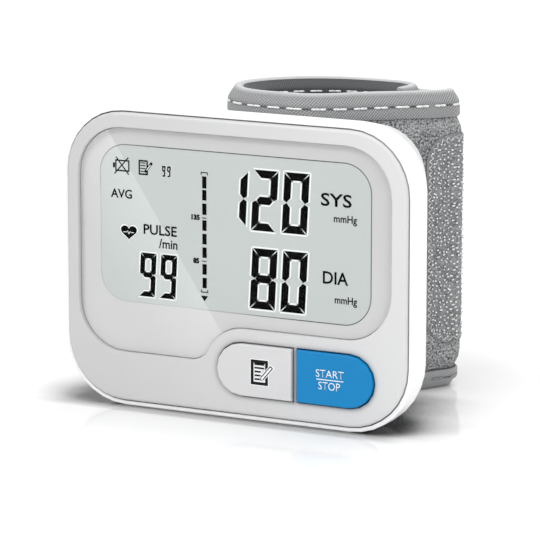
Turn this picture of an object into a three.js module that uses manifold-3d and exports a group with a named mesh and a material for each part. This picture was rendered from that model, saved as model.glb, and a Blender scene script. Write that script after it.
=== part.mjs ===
// Wrist blood pressure monitor: a display unit with two keys, and its padded cuff closed behind it.
// Millimetres. +Z is up and the display faces -Y. The origin is on the flat strip of the
// housing's underside that the unit stands on, midway across its width.

import * as THREE from "three";
import { mergeVertices } from "three/addons/utils/BufferGeometryUtils.js";
import Module from "manifold-3d";

const wasm = await Module();
wasm.setup();

// Fits that the pieces share
const clearance = 0.3; // between pieces that touch or run in each other
const overrun = 3; // how far a cut runs past what it cuts
const sliver = 0.5; // a short overlap that joins two solids of one piece

// Smoothness
const cornerSteps = 4;
const bevelSteps = 3;
const roundSides = 24;
const smallSides = 16;
const routeStep = 7.5; // degrees

// Housing outline, seen from the front. Its height is what the battery cells need.
const cellLength = 44.5;
const cellEndRoom = 21;
const bezelWidth = 84;
const bezelHeight = cellLength + cellEndRoom;
const bezelCornerRadius = 14;
const shellProud = 1.25;

// Housing depth and the curve of the rear shell
const frontSetback = 4;
const housingDepth = 21.35;
const hullStraight = 5.5;
const hullShoulderRadius = 10;
const hullBackRadius = 3.8;
const sideDraft = 27; // degrees
const endDraft = 12; // degrees
const hullLevelShares = [0, 0.1, 0.19, 0.28, 0.46, 0.65, 0.77, 0.83, 0.88, 0.925, 0.96, 0.985, 1];
const shellWall = 1.6;
const lipSetback = 0.9;
const lipBreak = 0.35;

// Front bezel
const bezelPlate = 3;
const bezelSkirtWall = 1.5;
const bezelSkirtDepth = 3.6;
const bezelEdgeRound = 0.7;

// Display lens, with its edges as margins inside the bezel's
const lensLeftMargin = 3.05;
const lensRightMargin = 3.72;
const lensTopMargin = 3.52;
const lensLowLeftMargin = 11.3;
const lensCornerRadius = 11;
const lensSweepRadius = 5.5;
const lensThickness = 1;
const lensSetback = 0.15;
const lensFit = 0.15;
const lensRecess = 1.5;

// Liquid crystal display behind the lens
const windowSideMargin = 8.55; // inside the bezel's edges, like the next two
const windowTopMargin = 7.3;
const windowBottomMargin = 22.75;
const windowCornerRadius = 6.5;
const lcdSideMargin = 1.15;
const lcdEndMargin = 1;
const lcdGlass = 0.9;
const lcdLedge = 2.4;
const holderWall = 0.9;
const holderLand = 1.5;
const holderBar = 1;
const stripHeight = 1.4;
const stripEndMargin = 4.6;
const stripThickness = 1.8;

// The two keys, which make one pill between them
const keysLength = 38.15;
const keysRightMargin = 7.58;
const keysBottomMargin = 4.47;
const keyHalfHeight = 5.85;
const keyGap = 1.2;
const keyMoat = 3.29; // from the pill to the lens edge that sweeps round it
const keyProud = 0.9;
const keyTravel = 0.6;
const keyEdgeRound = 0.35;
const keyWall = 1.1;
const keyFace = 1.2;
const keyLedge = 2;
const keyFlangeWidth = 0.8;
const keyFlangeThickness = 0.5;
const keyPostRadius = 2;

// Tact switches
const switchWidth = 6;
const switchThickness = 1.5;
const stemRadius = 1.7;

// Circuit board
const boardSideMargin = 3.5; // inside the bezel's edges
const boardEndMargin = 5.05;
const boardCornerRadius = 6;
const boardThickness = 1.2;
const chipWidth = 10;
const chipThickness = 1.4;
const chipX = 12;
const chipGap = 1.5; // below the pressure sensor

// Case screws
const screwShankRadius = 0.65;
const screwHeadRadius = 1.35;
const screwHeadThickness = 1.2;
const screwSlotWidth = 0.5;
const screwSlotDepth = 0.5;
const frontBossRadius = 1.5;
const rearBossRadius = 2.4;
const bossMeetY = 4;
const screwSeatY = 9;
const pilotFloor = 0.4;
const screwSideMargin = 18; // inside the bezel's edges, like the next three
const screwEndMargin = 2.95;
const rightScrewSideMargin = 10;
const rightScrewEndMargin = 18.65;

// Battery bay: two AAA cells side by side
const cellRadius = 5.25;
const cellNubRadius = 1.9;
const cellNubHeight = 1;
const cellEdgeBreak = 0.5;
const cellPitch = 11;
const cellSideMargin = 11; // from the bezel's edge to the first cell's axis
const bayFloor = 0.6;
const bayWall = 1;
const bayBottom = 7.3;
const leafHeight = 2.6;
const leafThickness = 0.4;
const leafHalfSpan = 2.7;
const contactThickness = 0.4;
const contactWidth = 5.6;
const doorFrontY = 3.5;
const doorSeamLap = 0.85; // from the second cell to the door's edge
const tongueReach = 3.2;
const tongueThickness = 0.6;
const tongueWidth = 9;
const tongueInset = 12; // inside the bay's ends
const gripCount = 5;
const gripPitch = 2;
const gripWidth = 0.8;
const gripHeight = 12;
const gripProud = 0.4;
const gripSeamMargin = 4.3;

// Air pump: a small motor that turns a crank in the pump head
const pumpSideMargin = 15; // inside the bezel's edge
const motorRadius = 5.2;
const motorLength = 15;
const motorRise = 6; // above the middle of the bezel
const motorBoreDepth = 8;
const motorEdgeBreak = 0.6;
const shaftRadius = 1;
const crankRadius = 3.2;
const crankThickness = 1.5;
const crankPinRadius = 0.8;
const crankPinOffset = 1.7;
const crankPinLength = 1.4;
const headWidth = 10.6;
const headLength = 11.4;
const headCornerRadius = 2.4;
const headChamberRadius = 4;
const headChamberDepth = 5;
const cradleRib = 1.6;
const cradleWidth = 8;
const cradlePlaceShares = [0.25, 0.75];

// Air paths: spigots, hoses and the connector block
const airAxisY = 10.2;
const spigotRadius = 0.8;
const spigotBore = 0.4;
const spigotLength = 3.2;
const hoseWall = 0.7;
const blockX = 5;
const blockDrop = 3; // below the middle of the bezel
const blockWidth = 5;
const cuffSpigotRadius = 1.5;
const cuffSpigotBore = 0.7;
const sensorWidth = 7;
const sensorThickness = 2.6;
const sensorDrop = 8.5; // below the connector block

// Release valve
const valveRadius = 3.8;
const valveLength = 11;
const valveRise = 9; // above the middle of the bezel
const valveRodRadius = 1.1;
const valveRodLength = 6;
const valveHeadRadius = 2.2;
const valveHeadThickness = 1;
const valveTravel = 0.8;

// Cuff: the stack of layers, and the heights of its edges
const cuffHeight = 70.3;
const rimFall = 0.045; // the top edge drops by this share of the distance to the back
const clothThickness = 0.7;
const stiffenerThickness = 0.6;
const bladderThickness = 0.6;
const tapeThickness = 0.5;
const tapeHeight = 6.2;
const tapeEndWidth = 5;
const tapeCutMargin = 0.4;
const stiffenerMargin = 6;
const bladderMargin = 5;

// Cuff route in plan: the middle of the layers, from the free end round the wrist to the strap
const cuffStandoff = 2.85; // from the housing's back to the outer face of the cuff
const cuffNearMiddleX = -1;
const cuffNearLength = 6;
const endStraight = 5;
const crownRadius = 13.5;
const crownTurn = 135; // degrees
const flankLength = 5;
const flankRadius = 27;
const flankTurn = 45; // degrees
const nearCornerRadius = 12.5;
const nearCornerTurn = 90; // degrees
const strapBendRadius = 7.2;
const strapBendTurn = 38; // degrees
const strapStraight = 15;
const strapCurveRadius = 28;
const strapCurveTurn = 22; // degrees
const strapReach = 5.5;
const foldRadius = 3.4;
const tailLength = 6;
const stiffenerPast = 8;

// Hook fastener patches
const hookThickness = 0.6;
const hookBottom = 11;
const hookTopMargin = 8.8;
const hookCornerRadius = 5;
const hookFoldMargin = 1.5;
const hookStartX = 19;
const padMargin = 3;

// Carrier that joins the cuff to the housing
const carrierMargin = 7.95; // from the bindings of the cuff to its ends
const carrierWing = 6;
const carrierCornerRadius = 4;
const studRadius = 1.5;
const studX = 3.2; // from the middle of the near side
const studMargin = 4.5; // from the carrier's ends
const carrierScrewReach = 10;
const carrierScrewSink = 1;

// Places worked out from the sizes above
const frontY = -frontSetback;
const backY = frontY + housingDepth;
const cuffNearY = backY + cuffStandoff;
const centreZ = shellProud + bezelHeight / 2;
const halfWidth = bezelWidth / 2;
const bezelBottom = shellProud;
const bezelTop = shellProud + bezelHeight;
const shellHalfWidth = bezelWidth / 2 + shellProud;
const shellHalfHeight = bezelHeight / 2 + shellProud;
const shellCornerRadius = bezelCornerRadius + shellProud;
const innerBackY = backY - shellWall;
const plateBackY = frontY + bezelPlate;
const lcdFrontY = plateBackY + clearance;
const lcdBackY = lcdFrontY + 2 * lcdGlass;
const stripFrontY = lcdFrontY + lcdGlass + clearance;
const stripBackY = stripFrontY + stripThickness;
const boardFrontY = stripBackY + clearance;
const boardBackY = boardFrontY + boardThickness;
const bayFloorY = boardBackY + clearance;
const cellY = bayFloorY + bayFloor + clearance + cellRadius;
const leftCellX = cellSideMargin - halfWidth;
const rightCellX = leftCellX + cellPitch;
const doorSeamX = rightCellX + cellRadius + doorSeamLap;
const bayLength = cellLength + leafHeight + 2 * contactThickness + 4 * clearance;
const bayTop = bayBottom + bayLength;
const tongueZ = [bayBottom + tongueInset, bayTop - tongueInset];
const keysMiddleX = halfWidth - keysRightMargin - keysLength / 2;
const keysZ = bezelBottom + keysBottomMargin + keyHalfHeight;
const keyBackY = frontY + keyLedge + clearance + keyFlangeThickness;
const windowRight = halfWidth - windowSideMargin;
const windowTop = bezelTop - windowTopMargin;
const windowBottom = bezelBottom + windowBottomMargin;
const lcdWidth = 2 * (windowRight + lcdSideMargin);
const lcdBottom = windowBottom - lcdEndMargin;
const lcdTop = windowTop + lcdEndMargin;
const pumpX = halfWidth - pumpSideMargin;
const motorBottom = centreZ + motorRise;
const blockZ = centreZ - blockDrop;
const sensorZ = blockZ - sensorDrop;
const valveBottom = centreZ + valveRise;
const carrierHeight = cuffHeight - 2 * (tapeHeight + carrierMargin);
const studReach = carrierHeight / 2 - studMargin;
const studZ = [centreZ - studReach, centreZ + studReach];
const carrierScrewZ = [centreZ - carrierScrewReach, centreZ + carrierScrewReach];
const hoseInnerRadius = spigotRadius + clearance;
const stackThickness = 2 * clothThickness + stiffenerThickness + bladderThickness + 3 * clearance;
const halfStack = stackThickness / 2;
const tapeInner = halfStack + clearance;
const tapeOuter = tapeInner + tapeThickness;
const clothBottom = tapeThickness + clearance;
const clothTop = cuffHeight - tapeThickness - clearance;
const hookTop = cuffHeight - hookTopMargin;

// Solids from three.js geometry, and back

const degrees = (angle) => (angle * Math.PI) / 180;

function solidOf(geometry) {
  const bare = geometry.clone();
  for (const name of Object.keys(bare.attributes)) {
    if (name !== "position") bare.deleteAttribute(name);
  }
  const merged = mergeVertices(bare);
  return new wasm.Manifold(
    new wasm.Mesh({
      numProp: 3,
      vertProperties: merged.attributes.position.array,
      triVerts: new Uint32Array(merged.index.array),
    }),
  );
}

function geometryOf(solid) {
  const mesh = solid.getMesh();
  const geometry = new THREE.BufferGeometry();
  geometry.setAttribute("position", new THREE.BufferAttribute(mesh.vertProperties, mesh.numProp));
  geometry.setIndex(new THREE.BufferAttribute(mesh.triVerts, 1));
  const flat = geometry.toNonIndexed();
  flat.computeVertexNormals();
  return flat;
}

const joined = (solids) => solids.reduce((all, next) => all.add(next));
const cut = (solid, tools) => tools.reduce((rest, tool) => rest.subtract(tool), solid);

// A shape drawn in the XZ plane, made solid from y0 back to y1, with its edges rounded if asked
function prismY(shape, y0, y1, round = 0) {
  const geometry = new THREE.ExtrudeGeometry(shape, {
    depth: y1 - y0 - 2 * round,
    curveSegments: cornerSteps,
    bevelEnabled: round > 0,
    bevelThickness: round,
    bevelSize: round,
    bevelOffset: -round,
    bevelSegments: bevelSteps,
  });
  geometry.rotateX(Math.PI / 2);
  geometry.translate(0, y1 - round, 0);
  return solidOf(geometry);
}

// A shape drawn in the XY plane, made solid from z0 up to z1
function prismZ(shape, z0, z1) {
  const geometry = new THREE.ExtrudeGeometry(shape, {
    depth: z1 - z0,
    curveSegments: cornerSteps,
    bevelEnabled: false,
  });
  geometry.translate(0, 0, z0);
  return solidOf(geometry);
}

function block(x0, x1, y0, y1, z0, z1) {
  const geometry = new THREE.BoxGeometry(x1 - x0, y1 - y0, z1 - z0);
  geometry.translate((x0 + x1) / 2, (y0 + y1) / 2, (z0 + z1) / 2);
  return solidOf(geometry);
}

// Round rods along each axis, between two places on it
function rodZ(x, y, z0, z1, radius, sides = smallSides) {
  const geometry = new THREE.CylinderGeometry(radius, radius, z1 - z0, sides);
  geometry.rotateX(Math.PI / 2);
  geometry.translate(x, y, (z0 + z1) / 2);
  return solidOf(geometry);
}

function rodY(x, z, y0, y1, radius, sides = smallSides) {
  const geometry = new THREE.CylinderGeometry(radius, radius, y1 - y0, sides);
  geometry.translate(x, (y0 + y1) / 2, z);
  return solidOf(geometry);
}

function rodX(y, z, x0, x1, radius, sides = smallSides) {
  const geometry = new THREE.CylinderGeometry(radius, radius, x1 - x0, sides);
  geometry.rotateZ(Math.PI / 2);
  geometry.translate((x0 + x1) / 2, y, z);
  return solidOf(geometry);
}

// A turned solid with its axis along +Z, from [radius, height] points that start and end on the axis
function turned(profile, sides, x, y, z) {
  const points = profile.map(([radius, height]) => new THREE.Vector2(radius, height));
  const geometry = new THREE.LatheGeometry(points, sides);
  geometry.rotateX(Math.PI / 2);
  geometry.translate(x, y, z);
  return solidOf(geometry);
}

function roundedRect(x0, x1, z0, z1, radius) {
  const shape = new THREE.Shape();
  shape.moveTo(x0 + radius, z0);
  shape.lineTo(x1 - radius, z0);
  shape.absarc(x1 - radius, z0 + radius, radius, degrees(-90), 0, false);
  shape.lineTo(x1, z1 - radius);
  shape.absarc(x1 - radius, z1 - radius, radius, 0, degrees(90), false);
  shape.lineTo(x0 + radius, z1);
  shape.absarc(x0 + radius, z1 - radius, radius, degrees(90), degrees(180), false);
  shape.lineTo(x0, z0 + radius);
  shape.absarc(x0 + radius, z0 + radius, radius, degrees(180), degrees(270), false);
  return shape;
}

// Housing hull: rounded rectangles that close in towards the back

// How far the hull has closed in at a depth behind the front, for one draft of its walls
function hullInset(depth, draft) {
  const slope = degrees(draft);
  const shoulderEnd = hullStraight + hullShoulderRadius * Math.sin(slope);
  const shoulderInset = hullShoulderRadius * (1 - Math.cos(slope));
  const backArcStart = housingDepth - hullBackRadius * (1 - Math.sin(slope));
  if (depth <= hullStraight) return 0;
  if (depth <= shoulderEnd) {
    const past = depth - hullStraight;
    return hullShoulderRadius - Math.sqrt(hullShoulderRadius ** 2 - past ** 2);
  }
  if (depth <= backArcStart) return shoulderInset + (depth - shoulderEnd) * Math.tan(slope);
  const wallInset = shoulderInset + (backArcStart - shoulderEnd) * Math.tan(slope);
  const past = Math.min(depth - (housingDepth - hullBackRadius), hullBackRadius);
  const rise = Math.sqrt(hullBackRadius ** 2 - past ** 2);
  return wallInset + hullBackRadius * Math.cos(slope) - rise;
}

function hullRing(y, sideInset, endInset) {
  const radius = shellCornerRadius - (sideInset + endInset) / 2;
  const cornerX = shellHalfWidth - sideInset - radius;
  const cornerZ = shellHalfHeight - endInset - radius;
  const corners = [
    [cornerX, cornerZ],
    [-cornerX, cornerZ],
    [-cornerX, -cornerZ],
    [cornerX, -cornerZ],
  ];
  return corners.flatMap(([x, z], quarter) =>
    Array.from({ length: 2 * cornerSteps + 1 }, (_, step) => {
      const angle = degrees(90 * (quarter + step / (2 * cornerSteps)));
      return [x + radius * Math.cos(angle), y, centreZ + z + radius * Math.sin(angle)];
    }),
  );
}

// A solid through rings of equal count, each flat in Y, closed by a fan at either end
function loft(rings) {
  const count = rings[0].length;
  const last = rings.length - 1;
  const hubs = [rings[0], rings[last]].map((ring) => [0, ring[0][1], centreZ]);
  const points = [...rings.flat(), ...hubs];
  const [frontHub, backHub] = [points.length - 2, points.length - 1];
  const faces = [];
  for (let i = 0; i < count; i++) {
    const next = (i + 1) % count;
    for (let level = 0; level < last; level++) {
      const near = level * count;
      const far = near + count;
      faces.push(near + i, far + i, near + next);
      faces.push(near + next, far + i, far + next);
    }
    faces.push(frontHub, i, next);
    faces.push(backHub, last * count + next, last * count + i);
  }
  const geometry = new THREE.BufferGeometry();
  geometry.setAttribute("position", new THREE.Float32BufferAttribute(points.flat(), 3));
  geometry.setIndex(faces);
  return solidOf(geometry);
}

// The hull from a start depth to its back, smaller all round by a wall. Its levels share out
// the depth behind the straight stretch.
function hull(startDepth, wall, edgeBreak) {
  const stretch = housingDepth / (housingDepth - wall);
  const ringAt = (depth, extra) =>
    hullRing(
      frontY + depth,
      wall + extra + hullInset(depth * stretch, sideDraft),
      wall + extra + hullInset(depth * stretch, endDraft),
    );
  const rings = [ringAt(startDepth, edgeBreak)];
  if (edgeBreak > 0) rings.push(ringAt(startDepth + edgeBreak, 0));
  for (const share of hullLevelShares) {
    const depth = hullStraight + share * (housingDepth - hullStraight);
    rings.push(ringAt(depth / stretch, 0));
  }
  return loft(rings);
}

const outerHull = hull(lipSetback, 0, lipBreak);
const innerHull = hull(-overrun, shellWall, 0);
const hullSkin = outerHull.subtract(innerHull);
const hullRoom = hull(-overrun, shellWall + clearance, 0);

// Outlines on the front

function bezelOutline(grow) {
  return roundedRect(
    -halfWidth - grow,
    halfWidth + grow,
    bezelBottom - grow,
    bezelTop + grow,
    bezelCornerRadius + grow,
  );
}

// A rounded rectangle inside the bezel's edges
function bezelInset(side, end, radius) {
  return roundedRect(side - halfWidth, halfWidth - side, bezelBottom + end, bezelTop - end, radius);
}

// The lens outline: its lower edge sweeps up and over the round end of the keys
function lensOutline(grow) {
  const left = lensLeftMargin - halfWidth - grow;
  const right = halfWidth - lensRightMargin + grow;
  const top = bezelTop - lensTopMargin + grow;
  const lowLeft = bezelBottom + lensLowLeftMargin - grow;
  const corner = lensCornerRadius + grow;
  const sweep = lensSweepRadius + grow;
  const roundX = keysMiddleX - keysLength / 2 + keyHalfHeight;
  const overRadius = keyHalfHeight + keyMoat - grow;
  const sweepZ = lowLeft + sweep;
  const rise = sweepZ - keysZ;
  const sweepX = roundX - Math.sqrt((overRadius + sweep) ** 2 - rise ** 2);
  const meet = Math.atan2(rise, sweepX - roundX);
  const shape = new THREE.Shape();
  shape.moveTo(left + corner, lowLeft);
  shape.lineTo(sweepX, lowLeft);
  shape.absarc(sweepX, sweepZ, sweep, degrees(-90), meet - Math.PI, false);
  shape.absarc(roundX, keysZ, overRadius, meet, degrees(90), true);
  shape.lineTo(right - corner, keysZ + overRadius);
  shape.absarc(right - corner, keysZ + overRadius + corner, corner, degrees(-90), 0, false);
  shape.absarc(right - corner, top - corner, corner, 0, degrees(90), false);
  shape.absarc(left + corner, top - corner, corner, degrees(90), degrees(180), false);
  shape.absarc(left + corner, lowLeft + corner, corner, degrees(180), degrees(270), false);
  return shape;
}

function windowOutline() {
  return roundedRect(-windowRight, windowRight, windowBottom, windowTop, windowCornerRadius);
}

// One key's outline. side is -1 for the left key and 1 for the right one.
// Its round end and long edges grow by one amount, and its straight end by another.
function keyOutline(side, grow, straightGrow) {
  const radius = keyHalfHeight + grow;
  const straightX = keysMiddleX + side * (keyGap / 2 - straightGrow);
  const roundX = keysMiddleX + side * (keysLength / 2 - keyHalfHeight);
  const start = degrees(side > 0 ? -90 : 90);
  const shape = new THREE.Shape();
  shape.moveTo(straightX, keysZ - side * radius);
  shape.lineTo(roundX, keysZ - side * radius);
  shape.absarc(roundX, keysZ, radius, start, start + Math.PI, false);
  shape.lineTo(straightX, keysZ + side * radius);
  return shape;
}

const keyMiddleX = (side) => keysMiddleX + (side * (keysLength + keyGap)) / 4;

// Screw places, as [x, z]
const screwX = halfWidth - screwSideMargin;
const caseScrewPlaces = [
  [-screwX, bezelTop - screwEndMargin],
  [screwX, bezelTop - screwEndMargin],
  [-screwX, bezelBottom + screwEndMargin],
  [halfWidth - rightScrewSideMargin, bezelBottom + rightScrewEndMargin],
];

function frontBezel() {
  const skirtBackY = frontY + bezelSkirtDepth;
  const body = prismY(bezelOutline(0), frontY, skirtBackY, bezelEdgeRound);
  const hollow = prismY(bezelOutline(-bezelSkirtWall), plateBackY, skirtBackY + overrun);
  const bosses = caseScrewPlaces.map(([x, z]) =>
    rodY(x, z, plateBackY - sliver, bossMeetY, frontBossRadius),
  );
  const pilots = caseScrewPlaces.map(([x, z]) =>
    rodY(x, z, plateBackY + pilotFloor, bossMeetY + overrun, screwShankRadius + clearance),
  );
  const recess = prismY(lensOutline(lensFit), frontY - overrun, frontY + lensRecess);
  const view = prismY(windowOutline(), frontY - overrun, plateBackY + overrun);
  const keyCuts = [-1, 1].flatMap((side) => [
    prismY(keyOutline(side, clearance, clearance), frontY - overrun, plateBackY + overrun),
    prismY(
      keyOutline(side, keyFlangeWidth + clearance, clearance),
      frontY + keyLedge,
      plateBackY + overrun,
    ),
  ]);
  const plate = joined([cut(body, [hollow]), ...bosses]);
  return cut(plate, [...pilots, recess, view, ...keyCuts]);
}

function displayLens() {
  const lensFrontY = frontY + lensSetback;
  return prismY(lensOutline(0), lensFrontY, lensFrontY + lensThickness);
}

// Two sheets of glass: the front one reaches lower, and the contacts are on that ledge
function lcdPanel() {
  const half = lcdWidth / 2;
  const middleY = lcdFrontY + lcdGlass;
  return joined([
    block(-half, half, lcdFrontY, middleY, lcdBottom, lcdTop),
    block(-half, half, lcdFrontY + sliver, lcdBackY, lcdBottom + lcdLedge, lcdTop),
  ]);
}

// Tray round the display, open to the front, with a slot for the contact strip
function lcdHolder() {
  const pocket = lcdWidth / 2 + clearance;
  const rim = pocket + holderWall;
  const landBackY = stripBackY;
  const stripMiddle = lcdBottom + lcdLedge / 2;
  const slotHalf = stripHeight / 2 + clearance;
  const low = lcdBottom - clearance;
  const high = lcdTop + clearance;
  return cut(
    block(-rim, rim, lcdFrontY, landBackY, low - holderWall, high + holderWall),
    [
      block(-pocket, pocket, lcdFrontY - overrun, lcdBackY + clearance, low, high),
      block(
        holderLand - pocket,
        pocket - holderLand,
        lcdFrontY,
        landBackY + overrun,
        stripMiddle + slotHalf + holderBar,
        high - holderLand,
      ),
      block(
        stripEndMargin - lcdWidth / 2 - clearance,
        lcdWidth / 2 - stripEndMargin + clearance,
        lcdFrontY,
        landBackY + overrun,
        stripMiddle - slotHalf,
        stripMiddle + slotHalf,
      ),
    ],
  );
}

function contactStrip() {
  const middle = lcdBottom + lcdLedge / 2;
  return block(
    stripEndMargin - lcdWidth / 2,
    lcdWidth / 2 - stripEndMargin,
    stripFrontY,
    stripBackY,
    middle - stripHeight / 2,
    middle + stripHeight / 2,
  );
}

// A hollow cap with a flange that keeps it in the bezel and a post that meets the switch
function keyCap(side) {
  const capFrontY = frontY - keyProud;
  const middle = keyMiddleX(side);
  const cap = prismY(keyOutline(side, 0, 0), capFrontY, keyBackY + keyEdgeRound, keyEdgeRound);
  const trimmed = cut(cap, [
    block(
      -bezelWidth,
      bezelWidth,
      keyBackY,
      keyBackY + overrun,
      keysZ - 2 * keyHalfHeight,
      keysZ + 2 * keyHalfHeight,
    ),
  ]);
  const flange = prismY(keyOutline(side, keyFlangeWidth, 0), keyBackY - keyFlangeThickness, keyBackY);
  const hollow = prismY(keyOutline(side, -keyWall, -keyWall), capFrontY + keyFace, keyBackY + overrun);
  const post = rodY(
    middle,
    keysZ,
    capFrontY + keyFace - sliver,
    keyBackY,
    keyPostRadius,
    roundSides,
  );
  return joined([cut(joined([trimmed, flange]), [hollow]), post]);
}

const switchBackY = boardFrontY - clearance;

function switchBody(side) {
  const middle = keyMiddleX(side);
  const half = switchWidth / 2;
  const front = switchBackY - switchThickness;
  return cut(block(middle - half, middle + half, front, switchBackY, keysZ - half, keysZ + half), [
    rodY(middle, keysZ, front - overrun, switchBackY + overrun, stemRadius + clearance),
  ]);
}

function switchStem(side) {
  const middle = keyMiddleX(side);
  return rodY(
    middle,
    keysZ,
    keyBackY + clearance,
    switchBackY - keyTravel - clearance,
    stemRadius,
  );
}

// The board is cut away where the screw bosses meet
function circuitBoard() {
  const outline = bezelInset(boardSideMargin, boardEndMargin, boardCornerRadius);
  const bossHoles = caseScrewPlaces.map(([x, z]) =>
    rodY(x, z, boardFrontY - overrun, boardBackY + overrun, rearBossRadius + clearance),
  );
  return cut(prismY(outline, boardFrontY, boardBackY), bossHoles);
}

function controlChip() {
  const half = chipWidth / 2;
  const chipZ = sensorZ - sensorWidth / 2 - chipGap - half;
  const front = boardBackY + clearance;
  return block(chipX - half, chipX + half, front, front + chipThickness, chipZ - half, chipZ + half);
}

// Rear shell

const atCaseScrews = (radius, fromY, toY) =>
  caseScrewPlaces.map(([x, z]) => rodY(x, z, fromY, toY, radius));

const rearBossFrontY = bossMeetY + clearance;

// The skin that the battery door takes the place of, grown by a gap on its cut edges
function doorZone(gap) {
  return block(
    -bezelWidth,
    doorSeamX + gap,
    doorFrontY - gap,
    backY + overrun,
    bayBottom + clearance - gap,
    bayTop - clearance + gap,
  );
}

function tongueBox(z, gap) {
  const inner = innerBackY;
  return block(
    doorSeamX - tongueThickness,
    doorSeamX + tongueReach + gap,
    inner - gap,
    inner + tongueThickness + gap,
    z - tongueWidth / 2 - gap,
    z + tongueWidth / 2 + gap,
  );
}

// Walls round the cells: a floor, a right wall, and a wall at either end
function batteryBay() {
  const rightX = doorSeamX + clearance;
  const outerBottom = bayBottom - bayWall;
  const outerTop = bayTop + bayWall;
  const walls = [
    block(-bezelWidth, rightX + bayWall, bayFloorY, bayFloorY + bayFloor, outerBottom, outerTop),
    block(rightX, rightX + bayWall, bayFloorY, backY, outerBottom, outerTop),
    block(-bezelWidth, rightX + bayWall, bayFloorY, backY, outerBottom, bayBottom),
    block(-bezelWidth, rightX + bayWall, bayFloorY, backY, bayTop, outerTop),
  ];
  return cut(joined(walls).intersect(outerHull), [doorZone(clearance).subtract(hullRoom)]);
}

// Two ribs that carry the round body of the pump motor or the valve
function cradles(x, radius, bottom, length) {
  return cradlePlaceShares.map((share) => {
    const z = bottom + length * share;
    return block(
      x - cradleWidth / 2,
      x + cradleWidth / 2,
      airAxisY + radius / 2,
      backY - sliver,
      z - cradleRib / 2,
      z + cradleRib / 2,
    );
  });
}

function cradleRoom(x, radius, bottom, length) {
  return rodZ(x, airAxisY, bottom - overrun, bottom + length + overrun, radius, roundSides);
}

function rearShell() {
  const mouthY = frontY + bezelSkirtDepth + clearance;
  const mouth = prismY(bezelOutline(clearance), frontY - overrun, mouthY);
  const bosses = atCaseScrews(rearBossRadius, rearBossFrontY, backY).map((boss) =>
    boss.intersect(outerHull),
  );
  const ribs = [
    ...cradles(pumpX, motorRadius, motorBottom, motorLength),
    ...cradles(blockX, valveRadius, valveBottom, valveLength),
  ].map((rib) => rib.intersect(outerHull));
  const whole = joined([cut(hullSkin, [mouth, doorZone(clearance)]), batteryBay(), ...bosses, ...ribs]);
  return cut(whole, [
    ...atCaseScrews(screwShankRadius + clearance, rearBossFrontY - overrun, backY + overrun),
    ...atCaseScrews(screwHeadRadius + clearance, screwSeatY, backY + overrun),
    ...tongueZ.map((z) => tongueBox(z, clearance)),
    cradleRoom(pumpX, motorRadius + clearance, motorBottom, motorLength),
    cradleRoom(blockX, valveRadius + clearance, valveBottom, valveLength),
    rodY(blockX, blockZ, airAxisY, backY + overrun, cuffSpigotRadius + clearance),
    ...carrierScrewZ.map((z) =>
      rodY(
        cuffNearMiddleX,
        z,
        innerBackY - overrun,
        backY + overrun,
        screwShankRadius + clearance,
      ),
    ),
  ]);
}

function batteryDoor() {
  const skin = hullSkin.intersect(doorZone(0));
  const tongues = tongueZ.map((z) => tongueBox(z, 0));
  const middleZ = (bayBottom + bayTop) / 2;
  const lastGripX = doorSeamX - gripSeamMargin - gripWidth;
  const grips = Array.from({ length: gripCount }, (_, i) => {
    const x = lastGripX - gripPitch * i;
    return prismY(
      roundedRect(x, x + gripWidth, middleZ - gripHeight / 2, middleZ + gripHeight / 2, gripWidth / 3),
      backY - sliver,
      backY + gripProud,
    );
  });
  return joined([skin, ...tongues, ...grips]);
}

// A screw with its point towards the front, its head's underside at a seat and a slot across it
function screw(x, z, seatY, tipY) {
  const headBackY = seatY + screwHeadThickness;
  return cut(
    joined([
      rodY(x, z, tipY, seatY + sliver, screwShankRadius),
      rodY(x, z, seatY, headBackY, screwHeadRadius),
    ]),
    [
      block(
        x - 2 * screwHeadRadius,
        x + 2 * screwHeadRadius,
        headBackY - screwSlotDepth,
        headBackY + overrun,
        z - screwSlotWidth / 2,
        z + screwSlotWidth / 2,
      ),
    ],
  );
}

function caseScrew([x, z]) {
  return screw(x, z, screwSeatY + clearance, plateBackY + pilotFloor + clearance);
}

// This screw stands the other way: its head is inside and its point is in the carrier
function carrierScrew(z) {
  const headBackY = innerBackY - clearance;
  const tipY = backY + clearance + carrierScrewSink;
  return joined([
    rodY(cuffNearMiddleX, z, headBackY - sliver, tipY, screwShankRadius),
    rodY(cuffNearMiddleX, z, headBackY - screwHeadThickness, headBackY, screwHeadRadius),
  ]);
}

// Cells and their contacts

function cell(x, bottom, nubUp) {
  const body = cellLength - cellNubHeight;
  const profile = [
    [0, 0],
    [cellRadius - cellEdgeBreak, 0],
    [cellRadius, cellEdgeBreak],
    [cellRadius, body - cellEdgeBreak],
    [cellRadius - cellEdgeBreak, body],
    [cellNubRadius, body],
    [cellNubRadius, cellLength],
    [0, cellLength],
  ];
  const heights = nubUp ? profile : profile.map(([r, h]) => [r, cellLength - h]).reverse();
  return turned(heights, roundSides, x, cellY, bottom);
}

const leafBottom = bayBottom + clearance;
const leafTop = bayTop - clearance;

function contactPlate(x0, x1, z0) {
  const half = contactWidth / 2;
  return block(x0 - half, x1 + half, cellY - half, cellY + half, z0, z0 + contactThickness);
}

// An arched leaf of spring metal, drawn in XZ, which stands on a contact plate
function springLeaf(x, plateZ, direction) {
  const height = leafHeight - contactThickness / 2;
  const radius = (leafHalfSpan ** 2 + height ** 2) / (2 * height);
  const spread = Math.asin(leafHalfSpan / radius);
  const middle = direction > 0 ? Math.PI / 2 : -Math.PI / 2;
  const centre = plateZ + direction * (height - radius);
  const shape = new THREE.Shape();
  shape.absarc(x, centre, radius, middle - spread, middle + spread, false);
  shape.absarc(x, centre, radius - leafThickness, middle + spread, middle - spread, true);
  const half = contactWidth / 2;
  return prismY(shape, cellY - half, cellY + half);
}

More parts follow.
